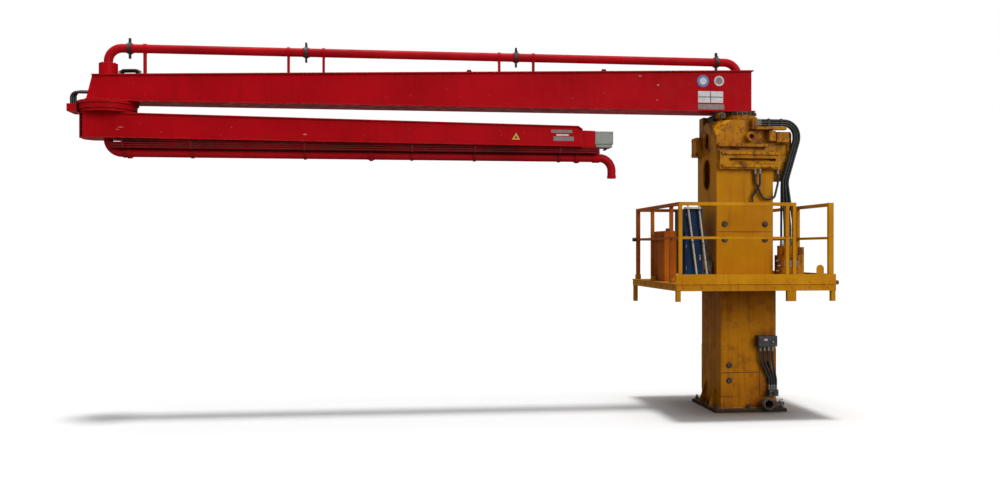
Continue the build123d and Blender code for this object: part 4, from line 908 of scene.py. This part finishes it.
def draw_tank(mesh):
    """A lid with a filler cap, four bolts, a blank strip on the front and the weld round the tank's foot."""
    low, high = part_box("side_tank")
    middle = (low + high) / 2
    lid = placed((middle.x, middle.y, high.z), Z)
    panel(mesh, high.x - low.x - 0.02, high.y - low.y - 0.02, 0.004, lid, 0.01)
    filler = [(0.034, 0), (0.034, 0.02), (0.028, 0.026), (0.028, 0.034), (0.022, 0.038)]
    turned(mesh, filler, placed((middle.x, low.y + 0.12, high.z + 0.003), Z), 20, 1)
    for y in (low.y + 0.05, high.y - 0.05):
        for z in (low.z + 0.08, high.z - 0.08):
            bolt(mesh, (low.x, y, z), -X, 0.014)
    panel(mesh, 0.03, 0.16, 0.008, placed((middle.x, low.y, middle.z), -Y), 0.01, 0.002, 1)
    weld(mesh, rectangle(low.x, high.x, low.y, high.y, low.z), 0.004)


UNION = [(0.02, 0), (0.02, 0.02), (0.015, 0.024), (0.015, 0.05), (0.011, 0.053)]
LEFT_UNION = [(0.026, 0), (0.026, 0.03), (0.02, 0.034), (0.02, 0.05), (0.012, 0.052)]
GAUGE = [(0.032, 0), (0.032, 0.02), (0.028, 0.024), (0.026, 0.018)]
PLUG = [(0.024, 0), (0.024, 0.014), (0.02, 0.018)]


def draw_valves(mesh):
    """Levers in their housings, plugs, pipe unions and a blank gauge on the two valve blocks."""
    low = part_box("valve_block")[0]
    front = low.y
    for n in range(5):
        x = 0.438 + 0.042 * n
        panel(mesh, 0.034, 0.1, 0.014, placed((x, front, 2.02), -Y), 0.004, 0.002, 1)
        lever = [(x, front - 0.008, 2.05), (x, front - 0.045, 2.085), (x, front - 0.06, 2.13)]
        tube(mesh, lever, 0.0045, 8, 1)
        knob(mesh, (x, front - 0.06, 2.128), Vector((0, -0.3, 1)), 0.01, 0.022, 2)
        bolt(mesh, (x, front, 1.94), -Y, 0.014, paint=1, washer=False)
        bolt(mesh, (x, front, 1.88), -Y, 0.018, paint=1, washer=False)
    for n in range(4):
        at = (low.x + 0.001, -0.5 + 0.045 * (n % 2), 1.84 + 0.07 * n)
        turned(mesh, UNION, placed(at, -X), 14, 1)
    left_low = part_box("left_valve_block")[0]
    for n in range(3):
        at = (left_low.x + 0.035 + 0.045 * n, left_low.y, 1.83 + 0.09 * (n % 2))
        turned(mesh, LEFT_UNION, placed(at, -Y), 16, 2)
    for profile, z in ((GAUGE, 2.36), (PLUG, 2.27)):
        turned(mesh, profile, placed((-0.56, -0.23, z), -Y), 20, 2)


# ---------------- arm details
KNUCKLE_X = -8.5
LINE1_Z, LINE2_Z = 4.83, 3.47  # the middles of the two delivery lines
LINE1_CLAMPS = (-0.319, -3.149, -5.969, -8.229)
LINE2_CLAMPS = (-8.23, -5.11, -2.31)
SUPPORTS = (-8.04, -6.2, -5.74, -3.38, -2.91)
HANGERS = (-8.29, -7.435, -5.98, -4.568, -3.72, -2.56)
CLIP_HALF = 0.066  # from a line's middle to the bolts of the clips on its supports and hangers
ARM1_HALF, ARM2_HALF = 0.2, 0.175  # half the width of each beam between its side plates
ARM1_FLANGE, ARM2_FLANGE = 0.016, 0.014


def slope(x, x0, z0, x1, z1):
    """The height at x on the line through (x0, z0) and (x1, z1)."""
    return z0 + (z1 - z0) * (x - x0) / (x1 - x0)


def arm1_top(x):
    return slope(x, -8.645, 4.45, 0.12, 4.69)


def arm2_top(x):
    return slope(x, -8.83, 3.975, -2.26, 3.885)


def arm2_under(x):
    return slope(x, -8.83, 3.645, -2.26, 3.605)


def weld_along(mesh, height, start, end, y, rise=0.0, radius=0.005, step=0.03):
    """A bead from start to end at the height given by a function of x, and a rise from it."""
    weld(mesh, [(x, y, height(x) + rise) for x in (start, end)], radius, step)


def draw_arm1_welds(mesh):
    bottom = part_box("arm1_beam")[0].z + ARM1_FLANGE
    for side in SIDES:
        y = side * ARM1_HALF
        weld_along(mesh, arm1_top, -8.64, 0.11, y, -ARM1_FLANGE)
        weld(mesh, [(-8.71, y, bottom), (0.11, y, bottom)], 0.005, 0.03)
    for lug_x in (-3.78, -1.89):
        for edge in SIDES:
            weld_along(mesh, arm1_top, lug_x - 0.068, lug_x + 0.068, 0.15 + 0.01 * edge, 0, 0.004, 0.012)
    for x in SUPPORTS:
        weld(mesh, rectangle(x - 0.015, x + 0.015, -0.035, 0.035, arm1_top(x)), 0.004, 0.01)


def draw_arm2_welds(mesh):
    for side in SIDES:
        y = side * ARM2_HALF
        weld_along(mesh, arm2_top, -8.74, -2.33, y, -ARM2_FLANGE, 0.004)
        weld_along(mesh, arm2_under, -8.74, -2.27, y, ARM2_FLANGE, 0.004)
    for x in HANGERS:
        weld(mesh, rectangle(x - 0.015, x + 0.015, -0.14, 0.14, arm2_under(x)), 0.0035, 0.012)


def draw_end_rings(mesh, clamps, z):
    """The raised end rings of the two pipes that meet in each clamp."""
    for x in clamps:
        for side in SIDES:
            ring_around(mesh, (x + side * 0.034, 0, z), X, 0.0565, 0.0645, 0.02)


def draw_arm1_line_rings(mesh):
    draw_end_rings(mesh, LINE1_CLAMPS, LINE1_Z)
    for x in SUPPORTS:
        for side in SIDES:
            bolt(mesh, (x, side * CLIP_HALF, LINE1_Z), (0, side, 0), 0.014, washer=False)


def draw_arm1_clamp_bolts(mesh):
    """Two pairs of bolts, a band and a lever on each clamp of arm 1's line."""
    z = LINE1_Z
    for x in LINE1_CLAMPS:
        for side in SIDES:
            for dz in (-0.104, 0.104):
                bolt(mesh, (x, side * 0.021, z + dz), (0, side, 0), 0.019, stud=0.006)
        ring_around(mesh, (x, 0, z), X, 0.0745, 0.0775, 0.012)
        lever = [(x + 0.014, -0.024, z + 0.09), (x + 0.02, -0.05, z + 0.04), (x + 0.02, -0.078, z - 0.03)]
        tube(mesh, lever, 0.006)


def draw_tied_hoses(mesh):
    """Thin hoses tied up against arm 2's underside, above the lines."""
    lines_top = 3.6
    for n, y in enumerate((-0.14, -0.117, -0.092, 0.092, 0.117, 0.14)):
        phase = random.uniform(0, 6)
        points = []
        for step in range(160):
            x = -8.36 + step * 0.0385
            under = arm2_under(x)
            lift = 0.5 + 0.5 * math.sin(2.3 * x + phase)
            room = max(0.0, under - lines_top - 0.022)
            points.append((x, y + 0.004 * math.sin(3.1 * x + 2 * phase), under - 0.012 - room * lift))
        tube(mesh, points, 0.01, 7, n % 2)


def draw_arm2_line_rings(mesh):
    draw_end_rings(mesh, LINE2_CLAMPS, LINE2_Z)
    for x in HANGERS:
        for side in SIDES:
            bolt(mesh, (x, side * CLIP_HALF, LINE2_Z), (0, side, 0), 0.014, washer=False)
            for dx in (-0.008, 0.008):
                bolt(mesh, (x + dx, side * 0.11, 3.519), -Z, 0.01, washer=False)
    low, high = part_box("outlet_end_ring")
    ring_around(mesh, ((low.x + high.x) / 2, 0, low.z + 0.006), Z, 0.058, 0.0608, 0.01)


def draw_arm2_clamp_bolts(mesh):
    for x in LINE2_CLAMPS:
        for side in SIDES:
            for dx in (-0.01, 0.01):
                bolt(mesh, (x + dx, side * 0.0735, LINE2_Z), (0, side, 0), 0.012, washer=False)
        for dx in (-0.014, 0.014):
            ring_around(mesh, (x + dx, 0, LINE2_Z), X, 0.0745, 0.0775, 0.008)


def draw_knuckle_bolts(mesh):
    x = KNUCKLE_X
    housing_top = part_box("knuckle_housing")[1].z
    plate_bottom = 4.0773
    collar_foot, collar_top = (corner.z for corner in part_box("knuckle_collar"))
    bolt_circle(mesh, (x, 0, housing_top), Z, 0.345, 36, 0.02, keep=lambda point: abs(point.y) > 0.255)
    under = (x, 0, plate_bottom)
    bolt_circle(mesh, under, -Z, 0.3648, 32, 0.011, washer=False, keep=lambda point: point.x > x - 0.3)
    bolt_circle(mesh, (x, 0, collar_top), Z, 0.093, 10, 0.018)
    ring_around(mesh, (x, 0, collar_top + 0.006), Z, PIPE_R, 0.066, 0.012)
    ring_around(mesh, (x, 0, collar_foot + 0.008), Z, 0.1165, 0.124, 0.014)


def draw_knuckle_drive(mesh):
    low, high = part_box("knuckle_drive")
    x, z = -8.91, (low.z + high.z) / 2
    draw_motor_fins(mesh, x, high.y - 0.02, -0.014, z, 0.038, 0.0425)
    bolt_circle(mesh, (x, high.y, z), Y, 0.03, 4, 0.009, washer=False)
    for dx in (-0.036, 0.036):
        for dz in (-0.03, 0.03):
            bolt(mesh, (x + dx, low.y, z + dz), -Y, 0.012)


def draw_tip_box(mesh):
    """Lids on the box's sides, end and top, screws in the side lids and cable glands below."""
    low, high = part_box("tip_box")
    gland_length = 0.04  # the glands reach this far below the box itself
    bottom = low.z + gland_length
    middle_x, middle_z = (low.x + high.x) / 2, (bottom + high.z) / 2
    width, height = high.x - low.x, high.z - bottom
    screw = [(0.007, 0.003), (0.007, 0.006), (0.004, 0.0075)]
    for y, axis in ((low.y, -Y), (high.y, Y)):
        panel(mesh, width - 0.024, height - 0.024, 0.0035, placed((middle_x, y, middle_z), axis), 0.01)
        draw_lid_screws(mesh, (middle_x, y, middle_z), width - 0.05, height - 0.05, axis, screw)
    panel(mesh, 0.2, 0.13, 0.003, placed((high.x, 0, middle_z), X), 0.01)
    panel(mesh, width - 0.03, 0.22, 0.003, placed((middle_x, 0, high.z), Z), 0.01)
    for y in (-0.06, 0, 0.06):
        knob(mesh, (middle_x + 0.04, y, low.z), -Z, 0.016, 0.03, 1)


def draw_arm1_hose_ends(mesh):
    for n in range(4):
        for x in (KNUCKLE_X + 0.415 - 0.018 * n, KNUCKLE_X + 0.16 - 0.006 * n):
            hose_end(mesh, (x, -0.066 + 0.044 * n, arm1_top(x)), Z, 0.013)


# ---------------- blank labels and paint chips
LABEL_THICK = 0.0008
CHIP_THICK = 0.0004


def sticker(mesh, outline, y, paint=0, thick=LABEL_THICK):
    """A thin blank label on a side face that looks towards -Y; its outline is in X and Z."""
    middle = (sum(x for x, z in outline) / len(outline), sum(z for x, z in outline) / len(outline))
    local = [(x - middle[0], z - middle[1]) for x, z in outline]
    rotation = Matrix(((1, 0, 0, 0), (0, 0, -1, 0), (0, 1, 0, 0), (0, 0, 0, 1)))
    plate(mesh, local, thick, Matrix.Translation((middle[0], y, middle[1])) @ rotation, 0.0003, paint)


def disc(radius, x, z):
    return [(x + radius * across, z + radius * up) for across, up in circle(28)]


def box_outline(x0, x1, z0, z1):
    return [(x0, z0), (x1, z0), (x1, z1), (x0, z1)]


# each label's outline, the layers under it and its place in LABELS
ARM1_LABELS = (
    (disc(0.083, -0.573, 4.53), 0, 0),
    (disc(0.05, -0.573, 4.53), 1, 1),
    (disc(0.07, -0.345, 4.535), 0, 1),
    (disc(0.05, -0.345, 4.535), 1, 2),
    (box_outline(-0.644, -0.287, 4.232, 4.391), 0, 1),
    (box_outline(-0.64, -0.291, 4.305, 4.316), 1, 3),
    (box_outline(-0.473, -0.462, 4.236, 4.387), 1, 3),
    (box_outline(-0.644, -0.273, 4.14, 4.212), 0, 2),
)
ARM2_LABELS = (
    ([(-3.226, 3.69), (-3.116, 3.69), (-3.171, 3.782)], 0, 4),
    ([(-3.194, 3.706), (-3.148, 3.706), (-3.171, 3.745)], 1, 3),
    (box_outline(-2.69, -2.4, 3.79, 3.83), 0, 2),
    (box_outline(-2.66, -2.38, 3.68, 3.74), 0, 2),
    (box_outline(-2.62, -2.45, 3.75, 3.772), 0, 1),
)


def draw_labels(mesh, y, labels):
    for outline, layers, paint in labels:
        sticker(mesh, outline, y - layers * LABEL_THICK, paint)


def draw_arm1_labels(mesh):
    draw_labels(mesh, -ARM1_HALF, ARM1_LABELS)


def draw_arm2_labels(mesh):
    draw_labels(mesh, -ARM2_HALF, ARM2_LABELS)


def ragged(x, z, width, height):
    """The outline of a chip in the paint."""
    outline = []
    for across, up in circle(11):
        size = random.uniform(0.7, 1.0) / 2
        outline.append((x + width * size * across, z + height * size * up))
    return outline


# x, z, width and height of the larger chips
ARM1_CHIPS = ((-1.463, 4.58, 0.05, 0.022), (-1.21, 4.462, 0.04, 0.03), (-1.224, 4.256, 0.03, 0.02))
ARM2_CHIPS = ((-5.97, 3.72, 0.06, 0.02), (-8.3, 3.78, 0.09, 0.012), (-8.34, 3.75, 0.06, 0.008))


def draw_chips(mesh, y, larger, count, xs, zs, tallest):
    """The larger chips, and a count of small ones strewn over the stretch between xs and zs."""
    for x, z, width, height in larger:
        sticker(mesh, ragged(x, z, width, height), y, 0, CHIP_THICK)
    for n in range(count):
        x = random.uniform(*xs)
        z = random.uniform(*zs)
        small = ragged(x, z, random.uniform(0.008, 0.02), random.uniform(0.004, tallest))
        sticker(mesh, small, y, 0, CHIP_THICK)


def draw_arm1_chips(mesh):
    draw_chips(mesh, -ARM1_HALF, ARM1_CHIPS, 12, (-8.4, -1.8), (4.16, 4.38), 0.009)


def draw_arm2_chips(mesh):
    draw_chips(mesh, -ARM2_HALF, ARM2_CHIPS, 10, (-8.6, -2.6), (3.68, 3.84), 0.008)


# ---------------- all the pieces, by the body that they ride on
LABELS = (LABEL_BLUE, LABEL_WHITE, LABEL_GREY, PLASTIC, LABEL_YELLOW)
DETAILS = {
    "mast": (
        ("anchor_bolts", draw_anchor_bolts, RUSTY),
        ("mast_welds", draw_mast_welds, YELLOW),
        ("mast_section_seams", draw_section_seams, RUSTY, ORANGE),
        ("pin_keepers", draw_pin_keepers, STEEL, ZINC),
        ("window_rims", draw_window_rims, ORANGE),
        ("head_bolts", draw_head_bolts, YELLOW_BRIGHT),
        ("slot_rim", draw_slot_rim, YELLOW),
        ("slew_drive_details", draw_slew_drive, YELLOW),
        ("mast_hose_ends", draw_mast_hose_ends, ZINC),
        ("mast_hose_clips", draw_hose_clips, STEEL),
        ("junction_box_details", draw_junction_box, PLASTIC, ZINC, LABEL_PINK),
        ("inlet_details", draw_inlet, ZINC, RUBBER),
        ("foot_block_details", draw_foot_block, ZINC, PLASTIC),
        ("post_sockets", draw_post_sockets, YELLOW),
        ("rail_caps", draw_rail_caps, YELLOW_BRIGHT, PLASTIC),
        ("floor_tread", draw_floor_tread, YELLOW),
        ("platform_bolts", draw_frame_bolts, YELLOW_BRIGHT),
        ("cabinet_details", draw_cabinet, BLUE, ZINC),
        ("conduit_clips", draw_conduit_clips, ZINC),
        ("tank_details", draw_tank, ORANGE, PLASTIC),
        ("valve_details", draw_valves, YELLOW, ZINC, PLASTIC),
    ),
    "boom_arm_1": (
        ("arm1_welds", draw_arm1_welds, RED),
        ("arm1_line_rings", draw_arm1_line_rings, RED_PIPE),
        ("arm1_clamp_bolts", draw_arm1_clamp_bolts, STEEL),
        ("arm1_labels", draw_arm1_labels, *LABELS),
        ("arm1_chips", draw_arm1_chips, CHIPPED),
        ("arm1_hose_ends", draw_arm1_hose_ends, ZINC),
        ("knuckle_bolts", draw_knuckle_bolts, RED),
        ("knuckle_drive_details", draw_knuckle_drive, RED_DARK),
    ),
    "boom_arm_2": (
        ("arm2_welds", draw_arm2_welds, RED),
        ("arm2_line_rings", draw_arm2_line_rings, RED_PIPE),
        ("arm2_tied_hoses", draw_tied_hoses, RED_DARK, RUBBER),
        ("arm2_clamp_bolts", draw_arm2_clamp_bolts, RED_DARK),
        ("tip_box_details", draw_tip_box, GREY, ZINC),
        ("arm2_labels", draw_arm2_labels, *LABELS),
        ("arm2_chips", draw_arm2_chips, CHIPPED),
    ),
}


def add_details():
    for body, pieces in DETAILS.items():
        for name, build, *materials in pieces:
            add_piece(name, body, materials, build)


add_camera()
floor = add_floor()
add_world()
floor_only = bpy.data.collections.new("floor_only")
floor_only.objects.link(floor)
add_sun("sky", (0.0, 0.02, -1), 2.2, 8)
add_sun("wide_sky", (0.0, 0.02, -1), 1.25, 45)
add_sun("front", (-0.45, 0.85, -0.4), 1.85, 40, unlit=floor_only)
add_sun("side", (0.85, 0.4, -0.3), 0.4, 50, unlit=floor_only)
dress_cad_nodes()
add_details()
bpy.context.scene.view_settings.view_transform = "Standard"
